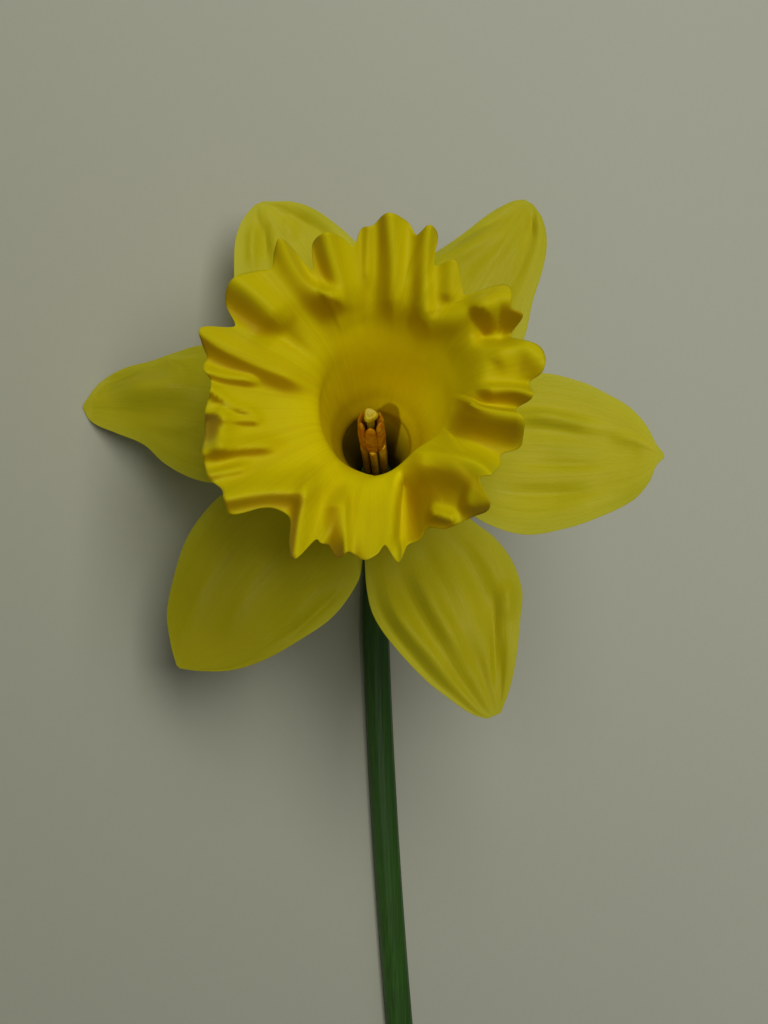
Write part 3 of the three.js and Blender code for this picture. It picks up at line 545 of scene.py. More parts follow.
# How much painted shade each tepal has, near the trumpet and at the tip, in the order of TEPALS: a deeper
# yellow where a tepal lies in shade.
TEPAL_PAINTED_SHADES = [(0.0, 0.4), (0.0, 0.0), (0.2, 0.2), (0.1, 0.0), (0.5, 0.4), (0.2, 0.85)]
TEPAL_CRESTS = {
    "tepal_inner_left": [
        [2.8, 3.0, 2.2, [(-43, -2.4), (-38, -1.2), (-33, -0.7), (-27, -0.3)]],
        [0.9, 0.9, 0.8, [(-34.4, 3.8), (-32, 2.4), (-29, 0.6)]],
        [-0.7, 0.6, 0.6, [(-44, -0.2), (-40, 0.9), (-36.6, 1.8)]],
        [0.5, 1.2, 1.2, [(-40, -6), (-34, -7), (-27, -7)]],
    ],
    "tepal_outer_upper_left": [
        [1.0, 0.8, 0.9, [(-19, 27), (-19.6, 22), (-19.4, 17)]],
        [-0.9, 0.8, 0.8, [(-17.6, 27), (-17.2, 19)]],
        [0.8, 1.2, 1.2, [(-14.5, 27), (-13, 22)]],
        [-0.8, 1.0, 1.0, [(-14, 27.4), (-10, 25.4), (-6, 22.4)]],
    ],
    "tepal_inner_upper_right": [
        [-1.0, 0.9, 0.9, [(10, 20.4), (16, 24.4), (23, 28)]],
        [0.8, 1.2, 1.2, [(11, 18.6), (17, 22.3), (23, 26)]],
        [-0.9, 0.6, 0.6, [(25, 28), (25.2, 22.7)]],
        [0.6, 1.0, 1.2, [(24, 27), (20, 21), (14, 15)]],
        [0.6, 1.0, 1.2, [(24.5, 25), (22.5, 20), (20, 14)]],
    ],
    "tepal_outer_right": [
        [1.2, 1.0, 0.9, [(22, -4.6), (30, -6.3), (37.3, -8.2)]],
        [-0.7, 0.7, 0.7, [(22, -12.8), (38, -13.2)]],
        [-0.7, 0.8, 0.8, [(19, -17.4), (36, -17.6)]],
        [1.0, 0.8, 1.5, [(37, -8.4), (42, -9.6), (46, -11.8)]],
    ],
    "tepal_inner_lower_right": [
        [-0.9, 0.6, 0.6, [(19, -32), (19.2, -52.8)]],
        [0.9, 1.2, 1.2, [(21, -31), (21.2, -39)]],
        [2.5, 4.4, 1.7, [(6.4, -28), (8.8, -34.5), (12.6, -41), (16, -46)]],
        [2.0, 3.4, 1.5, [(1, -31), (3.9, -37.4), (9.4, -44), (14.4, -49.4)]],
    ],
    "tepal_outer_lower_left": [
        [-0.8, 0.7, 0.7, [(-4.4, -32), (-15, -41.8)]],
        [0.9, 1.6, 1.6, [(-6, -29), (-12, -36), (-17, -41)]],
        [0.7, 1.2, 1.4, [(-14, -24), (-20, -33), (-25, -42)]],
        [0.6, 1.2, 1.2, [(-20, -22), (-27, -32), (-31, -42)]],
    ],
}


def tepal_middle(tepal, s, t):
    """The middle surface at shares s of the way to the tip and t across, with distance and half width."""
    tip = tepal["ccw"][-1][0]
    distance = TEPAL_ROOT + (tip - TEPAL_ROOT) * s
    half = np.where(t > 0, *(curve(ROOT_WIDTHS + tepal[side], distance) for side in ("ccw", "cw")))
    root_rise = INNER_ROOT_RISE if "inner" in tepal["name"] else OUTER_ROOT_RISE
    rise = curve(root_rise + tepal["rise"], distance)
    share = smoothstep(*RELIEF_TURNS, s)
    relief = curve(tepal["middle"], t) * (1 - share) + curve(tepal["end"], t) * share
    shown = smoothstep(RELIEF_STARTS, RELIEF_FULL, distance) * smoothstep(*RELIEF_WIDTHS, half)
    aside = t * half
    height = rise + relief * shown
    turn = math.radians(tepal["angle"])
    x = distance * math.cos(turn) - aside * math.sin(turn)
    y = distance * math.sin(turn) + aside * math.cos(turn)
    u, w = seen_from_camera(x, y, height)
    crests = crest_lift(TEPAL_CRESTS[tepal["name"]], u, w, 0, TEPAL_CREST_FADES)
    height = height + crests * smoothstep(0, TIP_PLAIN, distance[:, :1].max() - distance)
    return settled(in_bloom(x, y, height), TEPAL_SHEET), distance, half


def tepal_piece(tepal, painted_shades):
    s = (1 - (1 - np.linspace(0, 1, TEPAL_ROWS)) ** TEPAL_ROWS_CROWD)[:, None]
    t = np.sin(np.linspace(-1, 1, TEPAL_COLUMNS) * math.pi / 2 * TEPAL_COLUMNS_CROWD)[None, :]
    s, t = np.broadcast_arrays(s, t / t.max())
    middle, distance, half = tepal_middle(tepal, s, t)
    full = (1 - np.abs(t) ** 3) * (1 - smoothstep(TEPAL_THINS_AT, 1, s))
    thickness = TEPAL_EDGE + (TEPAL_SHEET - TEPAL_EDGE) * full
    fields = {
        "across": t,
        "along": distance,
        "margin": np.minimum(half * (1 - np.abs(t)), distance.max() - distance),
        "painted_shade": painted_shades[0] + (painted_shades[1] - painted_shades[0]) * smoothstep(*SHADE_PAINT_TURNS, distance),
    }
    return blade(tepal["name"].replace("tepal", "petal"), middle, thickness / 2, fields)


# ---- trumpet
TRUMPET_SHEET = 0.45
TRUMPET_EDGE = 0.16
TRUMPET_ROWS = 84
TRUMPET_ROWS_CROWD = 0.8  # under 1 the rows crowd towards the rim
TRUMPET_THICKENS = (-0.02, 0.06)
TRUMPET_THINS_AT = 0.75
SAMPLES_PER_FRILL_POINT = 7
FLARE_POWER = 1.6  # how late the frill's own radius takes over from the smooth rim's
FOLD_SHARE = 0.35  # of the frill's height is left to it, where ruffles do the rest
ROOT_TUCK = (1.2, 0.9)  # how far the root draws in and down, to cover the lip of the tube
ROOT_TUCKS_AT = 0.12
ROOT_BURIED = (1.2, 0.4)  # how far its last row runs out and down into the tube's wall
RUFFLE_SINK = 1.6  # what the wall sinks by between the ruffles
RUFFLE_STATIONS = (0.45, 0.66)
RUFFLE_RUN_ON = 0.3
RUFFLE_FADES = (0.32, 0.0)
RUFFLE_SHADE_TOWARD = (0.6, 0.8)  # painted shade: a ruffle's side that rises this way, towards the window, faces away from it and is given a deeper brown
RUFFLE_SHADE_STEP = 0.25
RUFFLE_SHADE_SLOPES = (0.15, 1.1)
# Crests and hollows of the frill, the hollows with a lift below 0.
RUFFLES = [
    # upper left
    [5.0, 2.8, 4.0, [(-22.5, 16), (-19.5, 13.5), (-16, 10)]],
    [1.6, 2.2, 3.0, [(-17.5, 17), (-13.5, 11.5), (-8, 3.5)]],
    [5.0, 1.3, 3.6, [(-15, 22.5), (-13, 18.2), (-10.5, 15), (-6, 13)]],
    [3.6, 2.4, 2.6, [(-7.8, 24), (-6.8, 20), (-5, 14)]],
    # top
    [1.3, 1.0, 1.0, [(-0.9, 26), (-1.2, 17)]],
    [3.0, 2.0, 1.9, [(2.3, 27), (3, 20), (3, 12)]],
    [3.2, 1.3, 2.0, [(8.6, 25), (8, 18), (8, 11)]],
    [1.6, 1.6, 1.8, [(12.2, 20), (12, 14)]],
    # upper right
    [3.0, 1.8, 2.6, [(7.6, 9.6), (12, 10.4), (16, 11.8)]],
    [4.0, 2.4, 3.4, [(17, 12), (20.2, 13.4), (24, 11)]],
    [-3.0, 2.6, 1.2, [(17, 7.6), (20, 7.6), (23, 8.6)]],
    [2.4, 1.6, 3.0, [(20, 5), (24, 5.4), (26.5, 3.6)]],
    [2.8, 2.4, 3.6, [(18.4, 4), (17, 1), (15.3, -2.6)]],
    # right, downwards
    [3.0, 0.9, 1.8, [(18, -1.1), (22, -1), (25.5, -2.1)]],
    [6.5, 0.6, 4.2, [(14.4, -3.2), (17, -4.5), (22.5, -5.2)]],
    [6.6, 1.6, 6.2, [(6.6, -11.4), (12, -12.0), (16.4, -13.4), (18.8, -15.6)]],
    [-6.5, 4.4, 1.0, [(4.8, -15.5), (4.3, -20), (4.1, -25)]],
    [1.6, 2.4, 1.2, [(14.5, -19.2), (16, -19.6), (18.5, -19)]],
    [2.4, 1.0, 1.0, [(9.2, -20.8), (12, -21.6)]],
    # bottom
    [1.4, 1.2, 1.8, [(4.4, -15), (3.6, -20), (3.2, -27)]],
    [1.0, 2.4, 2.4, [(-1.5, -16), (-2, -27)]],
    [4.0, 0.9, 2.6, [(-5, -19), (-4.9, -24), (-4.9, -28)]],
    [-4.0, 3.2, 3.2, [(-8.5, -28), (-6, -29)]],
    [4.0, 2.0, 1.4, [(-10.6, -16), (-11.8, -22), (-12.6, -27.5)]],
    # lower left and left
    [3.4, 2.4, 1.7, [(-23.5, -18.4), (-17, -17.4), (-12, -17.6)]],
    [1.4, 0.8, 0.9, [(-26.5, -14.6), (-21, -13.6)]],
    [2.0, 1.3, 1.1, [(-27.5, -11), (-22, -10.3), (-17, -10)]],
    [2.6, 1.5, 1.8, [(-24.6, -4.5), (-24.4, -7), (-24.6, -9.5)]],
    [-3.6, 2.4, 2.4, [(-28.5, -5.4), (-28.8, -9)]],
    [1.2, 0.8, 0.7, [(-24, -5.8), (-19, -5.9)]],
    [1.5, 0.9, 0.8, [(-26.5, -1), (-23, -3.5), (-20, -4.5)]],
    [1.4, 0.8, 0.8, [(-27, 1.8), (-24, 1), (-20, 0.5)]],
    [3.3, 2.8, 1.9, [(-27.8, 8), (-24, 5.4), (-18, 2.7), (-13, 0.8)]],
    # inside
    [0.7, 0.6, 0.6, [(-0.8, 6), (-0.7, -4)]],
]


def frill_at(q, column):
    """The frill at places q, counted in frill points, on a closed smooth curve."""
    count = len(FRILL)
    k = np.floor(q).astype(int)

    def value(k):
        turns = k // count
        entries = np.array([row[column] if column < len(row) else 0 for row in FRILL], float)
        return entries[k - turns * count] + (360 * turns if column == 0 else 0)

    before, low, high, after = (value(k + step) for step in (-1, 0, 1, 2))
    return hermite(low, high, (high - before) / 2, (after - low) / 2, q - k)


def trumpet_middle(q, v):
    """The wall at places q round the rim, at one station v from root to rim."""
    rim_angle = frill_at(q, 0)
    angle = rim_angle + frill_at(q, 3) * (1 - float(smoothstep(SHOULDER_AT, 1, v)))
    rim_radius = around(RIM, rim_angle, 1)
    rim_height = around(RIM, rim_angle, 2)
    places = [station[0] for station in NECK_STATIONS] + [SHOULDER_AT, FLARE_AT, 1]
    shift = np.cos(np.radians(angle))
    radii = [station[1] + station[3] * shift for station in NECK_STATIONS]
    radii += [around(SHOULDER, angle, 1), around(FLARE, angle, 1), rim_radius]
    heights = [np.full_like(q, station[2]) for station in NECK_STATIONS]
    heights += [np.full_like(q, SHOULDER_HEIGHT), around(FLARE, angle, 2), rim_height]
    starts = around(FOLD_STARTS, angle, 1)
    fold = smoothstep(starts, FOLD_FULL, v) / smoothstep(starts, FOLD_FULL, 1)
    out = max(0.0, (v - SHOULDER_AT) / (1 - SHOULDER_AT)) ** FLARE_POWER
    radius = through(places, radii, v) + (frill_at(q, 1) - rim_radius) * out
    height = through(places, heights, v) + (frill_at(q, 2) - rim_height) * fold * FOLD_SHARE
    tucked = 1 - float(smoothstep(0, ROOT_TUCKS_AT, v))
    radius, height = radius - ROOT_TUCK[0] * tucked, height - ROOT_TUCK[1] * tucked
    if v == 0:
        radius, height = radius + ROOT_BURIED[0], height - ROOT_BURIED[1]
    turn = np.radians(angle)
    return radius * np.cos(turn), radius * np.sin(turn), height


def ruffle_lift(u, w):
    return crest_lift(RUFFLES, u, w, RUFFLE_RUN_ON, RUFFLE_FADES)


def trumpet_piece():
    q = np.arange(len(FRILL) * SAMPLES_PER_FRILL_POINT) / SAMPLES_PER_FRILL_POINT
    stations = np.linspace(0, 1, TRUMPET_ROWS) ** TRUMPET_ROWS_CROWD
    local = np.array([np.stack(trumpet_middle(q, v), axis=-1) for v in stations])
    x, y, height = local[..., 0], local[..., 1], local[..., 2]
    v = np.broadcast_to(stations[:, None], x.shape)
    u, w = seen_from_camera(x, y, height)
    shown = smoothstep(*RUFFLE_STATIONS, v)
    lift = ruffle_lift(u, w)
    # how steeply the ruffles rise towards the window, for painted shade on the flanks that face away from
    # it
    rise = (ruffle_lift(u + RUFFLE_SHADE_STEP * RUFFLE_SHADE_TOWARD[0], w + RUFFLE_SHADE_STEP * RUFFLE_SHADE_TOWARD[1]) - lift) / RUFFLE_SHADE_STEP
    ruffle = (lift - RUFFLE_SINK) * shown
    middle = in_bloom(x, y, height) + ruffle[..., None] * FACE
    full = (1 - smoothstep(TRUMPET_THINS_AT, 1, v)) * smoothstep(*TRUMPET_THICKENS, v)
    thickness = TRUMPET_EDGE + (TRUMPET_SHEET - TRUMPET_EDGE) * full
    angle = np.arctan2(y, x)
    fields = {
        "turn_x": np.cos(angle),
        "turn_y": np.sin(angle),
        "station": v,
        "height": height,
        "ruffle_painted_shade": smoothstep(*RUFFLE_SHADE_SLOPES, rise) * shown,
    }
    return blade("corona", middle, thickness / 2, fields, ringed=True)


# ---- tube, ovary, stamens, style
ROUND_SIDES = 96
TUBE_STEPS = 22  # rings on each smooth side of the wall, outside and inside
# [radius, height], from TUBE_OUTSIDE on over the lip and down the inside.
TUBE_LIP = [[8.4, -1.7], [9.1, -1.05], [9.2, -0.7], [9.1, -0.4], [8.8, TUBE_TOP]]
TUBE_MOUTH = [[6.7, TUBE_TOP], [6.4, -0.5]]
TUBE_INSIDE = [[6.2, -1], [5.3, -5], [3.8, -12], [3.0, TUBE_BOTTOM]]
TUBE_RIBS = 6
TUBE_RIB = 0.03  # share of the radius
TUBE_RIBS_OVER = 3.5  # the tube is ribbed where its radius is over this
TUBE_RIBS_BELOW = -2  # and its height below this
OVARY_ROWS = 40
OVARY_SIDES = 72
OVARY_SEAMS = 12
OVARY_SEAM = 0.02  # their depth, as a share of the radius
OVARY_SEAM_POWER = 8  # the higher, the narrower they are
STYLE_ROWS = 12
STYLE_SIDES = 48
STYLE_WIDENS = STIGMA_BOTTOM - 1.5
STIGMA_ROWS = 26
# [height, share of the stigma's swell].
STIGMA_SHAPE = [
    [TUBE_BOTTOM, 0], [STYLE_WIDENS, 0], [STIGMA_BOTTOM, 0.25], [STIGMA_BOTTOM + 0.9, 0.5],
    [STIGMA_TOP - 0.7, 0.6], [STIGMA_TOP, 0.25],
]
STIGMA_HOLLOW = 0.35  # how steeply its top falls inward: mm over the whole radius
STIGMA_INWARD = np.array([0.75, 0.5, 0.25])  # the top's rings, as shares of its edge
LOBES = 3  # of ovary and stigma
STAMENS = 6
STAMEN_SIDES = 28
FILAMENT_ROWS = 16
FILAMENT_ENDS = (TUBE_BOTTOM + 1.2, ANTHER_BOTTOM + 2)
ANTHER_ROWS = 30
ANTHER_SHAPE = [[0, 0.25], [0.06, 0.75], [0.15, 1], [0.75, 0.95], [0.92, 0.7], [1, 0.15]]
ANTHER_GROOVE = 0.22  # down its outer side, as a share of half the anther's depth
ANTHER_GROOVE_WIDTH = 0.35  # radians
ANTHER_WAVE = 0.05  # how much its width wavers
ANTHER_WAVE_RADIANS = 9  # and how far round the wave goes from end to end


def ring_angles(sides):
    return np.linspace(0, 2 * math.pi, sides, endpoint=False)


def round_rings(radii, heights, aside_at=np.zeros_like):
    """Rings about the bloom's axis, from a row of radii and a height for each."""
    angle = ring_angles(radii.shape[1])
    heights = heights[:, None]
    return in_bloom(aside_at(heights) + radii * np.cos(angle), radii * np.sin(angle), heights)


def tube_piece():
    outside = smooth_line(TUBE_OUTSIDE, TUBE_STEPS).tolist() + TUBE_LIP
    inside = TUBE_MOUTH + smooth_line(TUBE_INSIDE, TUBE_STEPS).tolist()
    radius, height = np.array(outside + inside).T
    rib = np.where((radius > TUBE_RIBS_OVER) & (height < TUBE_RIBS_BELOW), TUBE_RIB, 0)
    angle = ring_angles(ROUND_SIDES)
    radii = radius[:, None] * (1 + rib[:, None] * np.cos(TUBE_RIBS * angle))
    points = round_rings(radii, height).reshape(-1, 3)
    rows = len(height)
    faces = grid_faces(rows, ROUND_SIDES, True).tolist()
    last = (rows - 1) * ROUND_SIDES
    for k in range(ROUND_SIDES):
        after = (k + 1) % ROUND_SIDES
        faces.append([last + k, last + after, after, k])
    within = [0.0] * (len(outside) - 2) + [0.5] + [1.0] * (len(inside) + 1)
    fields = {
        "height": np.repeat(height, ROUND_SIDES),
        "inside": np.repeat(within, ROUND_SIDES),
        "turn_x": np.tile(np.cos(angle), rows),
    }
    return make_mesh("perianth_tube", points, outward(points, faces), fields)


def ovary_piece():
    along = np.linspace(0, 1, OVARY_ROWS)
    angle = ring_angles(OVARY_SIDES)
    seams = OVARY_SEAM * np.cos(OVARY_SEAMS / 2 * angle) ** OVARY_SEAM_POWER
    lobes = 1 + OVARY_LOBE * np.cos(LOBES * angle) - seams
    radii = OVARY_RADIUS * curve(OVARY_SHAPE, along)[:, None] * lobes
    heights = TUBE_BOTTOM - SEAT - OVARY_LENGTH * (1 - along)
    return loft("seed_pod", round_rings(radii, heights))


def column_lean(height):
    """How far aside the column of style and stamens stands at a height."""
    return -COLUMN_LEAN * smoothstep(0, STIGMA_TOP - TUBE_BOTTOM, height - TUBE_BOTTOM)


def style_piece():
    lower = np.linspace(TUBE_BOTTOM, STYLE_WIDENS, STYLE_ROWS)[:-1]
    heights = np.concatenate([lower, np.linspace(STYLE_WIDENS, STIGMA_TOP, STIGMA_ROWS)])
    share = np.maximum(0, curve(STIGMA_SHAPE, heights))
    lobes = STIGMA_SWELL + STIGMA_LOBE * np.cos(LOBES * ring_angles(STYLE_SIDES))
    radii = STYLE_RADIUS + share[:, None] * lobes
    radii = np.concatenate([radii, radii[-1] * STIGMA_INWARD[:, None]])
    heights = np.concatenate([heights, STIGMA_TOP - STIGMA_HOLLOW * (1 - STIGMA_INWARD)])
    return loft("pistil", round_rings(radii, heights, column_lean))


def spun(out, side, height, turn):
    """Points of one stamen, given outward and sideways from the column's middle."""
    x = out * math.cos(turn) - side * math.sin(turn)
    y = out * math.sin(turn) + side * math.cos(turn)
    return in_bloom(x + column_lean(height), y, height)


def stamen_parts(k):
    """The filament and the anther of one stamen, as rings of points."""
    turn = 2 * math.pi * (k + 0.5) / STAMENS
    angle = ring_angles(STAMEN_SIDES)
    heights = np.linspace(*FILAMENT_ENDS, FILAMENT_ROWS)[:, None]
    out = ANTHER_CIRCLE + FILAMENT_WIDTH / 2 * np.cos(angle)
    filament = spun(out, FILAMENT_WIDTH / 2 * np.sin(angle), heights, turn)
    u = np.linspace(0, 1, ANTHER_ROWS)[:, None]
    size = curve(ANTHER_SHAPE, u)
    wave = 1 + ANTHER_WAVE * np.sin(ANTHER_WAVE_RADIANS * u + k)
    from_outer = np.mod(angle + math.pi, 2 * math.pi) - math.pi
    groove = 1 - ANTHER_GROOVE * np.exp(-((from_outer / ANTHER_GROOVE_WIDTH) ** 2))
    out = ANTHER_CIRCLE + ANTHER_DEPTH / 2 * size * wave * np.cos(angle) * groove
    side = ANTHER_WIDTH / 2 * size * wave * np.sin(angle)
    anther = spun(out, side, ANTHER_BOTTOM + (ANTHER_TOP - ANTHER_BOTTOM) * u, turn)
    return filament, anther


def stamen_pieces():
    filaments, anthers = [], []
    for k in range(STAMENS):
        filament, anther = stamen_parts(k)
        filaments.append(loft(f"filament_{k + 1}", filament))
        anthers.append(loft(f"anther_{k + 1}", anther))
    return filaments, anthers


# ---- stem and spathe
STEM_SIDES = 84
STEM_ROWS = 130
BEND_ROWS = 60
STEM_RIDGES = 14
STEM_RIDGE = 0.012  # share of the radius
# The cut end's rings: [mm from the end, share of the stem's width], the narrow hollow first.
CUT_RINGS = [[7, 0.24], [3, 0.24], [0.4, 0.24], [0, 0.24], [0, 0.96], [0.15, 1]]
CUT_LENGTH = 1  # the stem's other rings start this far from the end
SPATHE_ROWS = 90
SPATHE_COLUMNS = 60
SPATHE_SHEET = 0.3
SPATHE_EDGE = 0.1
SPATHE_THINS = (0.38, 0.5)  # shares of its width, from the middle
SPATHE_UNEVEN = 0.02  # share of the radius
SPATHE_UNEVEN_SCALES = (9, 14)
SPATHE_SEED = 5


def bend_frame(angle):
    """The directions sideways and up across the stem, at an angle round its bend."""
    inward = FACE * math.cos(angle) - Y * math.sin(angle)
    side = SIDE * math.cos(ROLL) - inward * math.sin(ROLL)
    up = SIDE * math.sin(ROLL) + inward * math.cos(ROLL)
    return side, up


def stem_ring(centre, side, up, half_width, half_height):
    angle = ring_angles(STEM_SIDES)
    ridge = 1 + STEM_RIDGE * np.cos(STEM_RIDGES * angle)
    return (centre + (half_width * ridge * np.sin(angle))[:, None] * side
            + (half_height * ridge * np.cos(angle))[:, None] * up)


def stem_piece():
    rings, backs = [], []
    stations = [[STEM_LENGTH - inset, share] for inset, share in CUT_RINGS]
    stations += [[back, 1] for back in np.linspace(STEM_LENGTH - CUT_LENGTH, 0, STEM_ROWS)]
    for back, share in stations:
        aside = STEM_ASIDE * float(smoothstep(0, STEM_ASIDE_BY, back))
        centre = NECK + np.array([STEM_SLANT * back + STEM_CURVE * back**2 - aside, -back, 0])
        heading = np.array([-STEM_SLANT - 2 * STEM_CURVE * back, 1, 0])
        side = np.cross(heading / np.linalg.norm(heading), Z)
        rings.append(stem_ring(centre, side, Z, STEM_WIDTH / 2 * share, STEM_HEIGHT / 2 * share))
        backs.append(back)
    for angle in np.linspace(0, BEND_ANGLE, BEND_ROWS)[1:]:
        share = angle / BEND_ANGLE
        taper = float(smoothstep(0, PEDICEL_STARTS, share))
        swell = PEDICEL_SWELL * float(smoothstep(SWELL_STARTS, 1, share))
        radius = PEDICEL_RADIUS * taper + swell
        halves = [size / 2 * (1 - taper) + radius for size in (STEM_WIDTH, STEM_HEIGHT)]
        rings.append(stem_ring(on_bend(angle), *bend_frame(angle), *halves))
        backs.append(-angle * BEND_RADIUS)
    rings = np.array(rings)
    rings[..., 2] = np.maximum(rings[..., 2], 0)
    return loft("flower_stem", rings, {"back": np.repeat(backs, STEM_SIDES)})


def spathe_piece():
    start = on_bend(math.radians(SPATHE_START))
    s = np.linspace(0, 1, SPATHE_ROWS)[:, None]
    j = np.linspace(-0.5, 0.5, SPATHE_COLUMNS)[None, :]
    turn = j * np.radians(curve(SPATHE_WRAP, s))
    crease = 1 + SPATHE_CREASE * s * np.sin(SPATHE_CREASES * turn + SPATHE_TWIST * s)
    turn_scale, along_scale = SPATHE_UNEVEN_SCALES
    fine = 1 + SPATHE_UNEVEN * s * ripple(turn * turn_scale, s * along_scale, SPATHE_SEED)
    radius = curve(SPATHE_RADIUS, s) * crease * fine
    centre = start + s[..., None] * Y * SPATHE_LENGTH + curve(SPATHE_HEIGHT, s)[..., None] * Z
    centre = centre + SPATHE_DRIFT * (s**2)[..., None] * X
    middle = centre - (radius * np.cos(turn))[..., None] * FACE
    middle = middle + (radius * np.sin(turn))[..., None] * SIDE
    s, j = np.broadcast_arrays(s, j)
    full = 1 - smoothstep(*SPATHE_THINS, np.abs(j))
    thickness = SPATHE_EDGE + (SPATHE_SHEET - SPATHE_EDGE) * full
    fields = {"across": 2 * j, "along": s * SPATHE_LENGTH}
    return blade("papery_sheath", settled(middle, SPATHE_SHEET), thickness / 2, fields)


# ---- materials
# Colours, 0 to 255 in sRGB.
TEPAL_YELLOWS = (212, 203, 24), (220, 210, 38)
TEPAL_VEIN = (200, 193, 20)
TEPAL_RIM = (222, 217, 60)
TEPAL_BASE = (190, 196, 40)
TEPAL_PAINTED_SHADE = (170, 161, 2)
CORONA_YELLOWS = (230, 213, 0), (224, 204, 0)
CORONA_PAINTED_SHADE = (180, 136, 0)
# painted light on the trumpet's inner wall, and at its top a deeper yellow for painted shade
CORONA_INSIDE_PAINTED_LIGHT = (250, 238, 4)
CORONA_INSIDE_TOP_PAINTED_SHADE = (234, 212, 0)
CORONA_THROAT_PAINTED_SHADE = (184, 158, 4)
STEM_GREENS = (44, 82, 20), (56, 102, 26)
STEM_BLOTCH = (50, 88, 26)
PEDICEL_PALE = (130, 150, 66)
STEM_CUT = (196, 208, 150)
POD_GREENS = (88, 122, 44), (112, 146, 60)
TUBE_OUTER = (92, 116, 34), (176, 176, 20)
TUBE_BLOTCH = (150, 168, 50)
# painted shade deep in the tube, and painted shade and light on the left and right of its inside below the
# lip
TUBE_DEEP_PAINTED_SHADE = (120, 104, 6)
TUBE_LIP_PAINTED_SHADE_AND_LIGHT = (112, 96, 6), (222, 202, 10)
SPATHE_BROWNS = (186, 160, 116), (150, 118, 74)
SPATHE_BLOTCH = (120, 88, 52)
POLLEN = (200, 146, 14), (178, 108, 8)
STYLE_YELLOWS = (178, 158, 14), (194, 176, 24)
FILAMENT_YELLOWS = (250, 214, 50), (236, 178, 30)
FLOOR_PALES = (234, 235, 214), (228, 230, 210)
FLOOR_PAINTED_SHADE = (144, 146, 126)
FLOOR_PAINTED_LIGHT_TOWARD = (0.9, 0.5, 0.0)  # the way in which the floor's painted shade gives way to pale, as if the light were brighter that way
PLAIN_GLOW = (1.0, 0.2, 0.1)  # how far red, green and blue go below a surface, next to each other
PATCHES = (0.35, 0.65)  # the part of a noise over which one colour turns into another


def linear(red, green, blue):
    """A colour given as 0 to 255 in sRGB, as linear light with full alpha."""
    def one(value):
        value /= 255
        return value / 12.92 if value <= 0.04045 else ((value + 0.055) / 1.055) ** 2.4
    return (one(red), one(green), one(blue), 1.0)


class Finish:
    """A node material on one Principled shader, built up by short calls."""

    def __init__(self, name, roughness, specular, glow=None):
        """glow is how much light goes below the surface, how many metres, and each colour's share."""
        self.material = bpy.data.materials.new(name)
        self.material.use_nodes = True
        self.tree = self.material.node_tree
        self.shader = self.tree.nodes["Principled BSDF"]
        self.set("Roughness", roughness)
        self.set("Specular IOR Level", specular)
        if glow:
            self.set("Subsurface Weight", glow[0])
            self.set("Subsurface Scale", glow[1])
            self.set("Subsurface Radius", glow[2])

    def set(self, socket, value):
        self.shader.inputs[socket].default_value = value

    def node(self, kind, inputs=None, output=0, **settings):
        made = self.tree.nodes.new("ShaderNode" + kind)
        for key, value in settings.items():
            setattr(made, key, value)
        for key, value in (inputs or {}).items():
            if isinstance(value, bpy.types.NodeSocket):
                self.tree.links.new(value, made.inputs[key])
            else:
                made.inputs[key].default_value = value
        return made.outputs[output]

    def field(self, name):
        return self.node("Attribute", output="Fac", attribute_type="GEOMETRY", attribute_name=name)

    def place(self):
        return self.node("TexCoord", output="Object")

    def times(self, a, b):
        return self.node("Math", {0: a, 1: b}, operation="MULTIPLY")

    def plus(self, a, b):
        return self.node("Math", {0: a, 1: b}, operation="ADD")

    def span(self, value, low, high, to_low=0.0, to_high=1.0):
        """A smooth turn from to_low to to_high while the value goes from low to high."""
        inputs = {"Value": value, "From Min": low, "From Max": high, "To Min": to_low, "To Max": to_high}
        return self.node("MapRange", inputs, interpolation_type="SMOOTHSTEP")

    def noise(self, vector, scale, detail, roughness=0.55):
        inputs = {"Vector": vector, "Scale": scale, "Detail": detail, "Roughness": roughness}
        return self.node("TexNoise", inputs)

    def streaks(self, scaled, detail, roughness=0.55, depth=0.0):
        """Noise over three values, each with its own scale, or over two at a depth."""
        parts = {2: depth}
        parts.update({k: self.times(value, scale) for k, (value, scale) in enumerate(scaled)})
        return self.noise(self.node("CombineXYZ", parts), 1.0, detail, roughness)

    def mix(self, factor, a, b):
        """From a to b. Each is an output of a node or a colour."""
        a, b = (linear(*colour) if isinstance(colour, tuple) else colour for colour in (a, b))
        return self.node("Mix", {0: factor, 6: a, 7: b}, output=2, data_type="RGBA")

    def bump(self, height, distance, strength, normal=None):
        inputs = {"Height": height, "Distance": distance, "Strength": strength}
        if normal is not None:
            inputs["Normal"] = normal
        return self.node("Bump", inputs)

    def finish(self, colour, normal, roughness=None):
        self.tree.links.new(colour, self.shader.inputs["Base Color"])
        self.tree.links.new(normal, self.shader.inputs["Normal"])
        if roughness is not None:
            self.tree.links.new(roughness, self.shader.inputs["Roughness"])
        return self.material


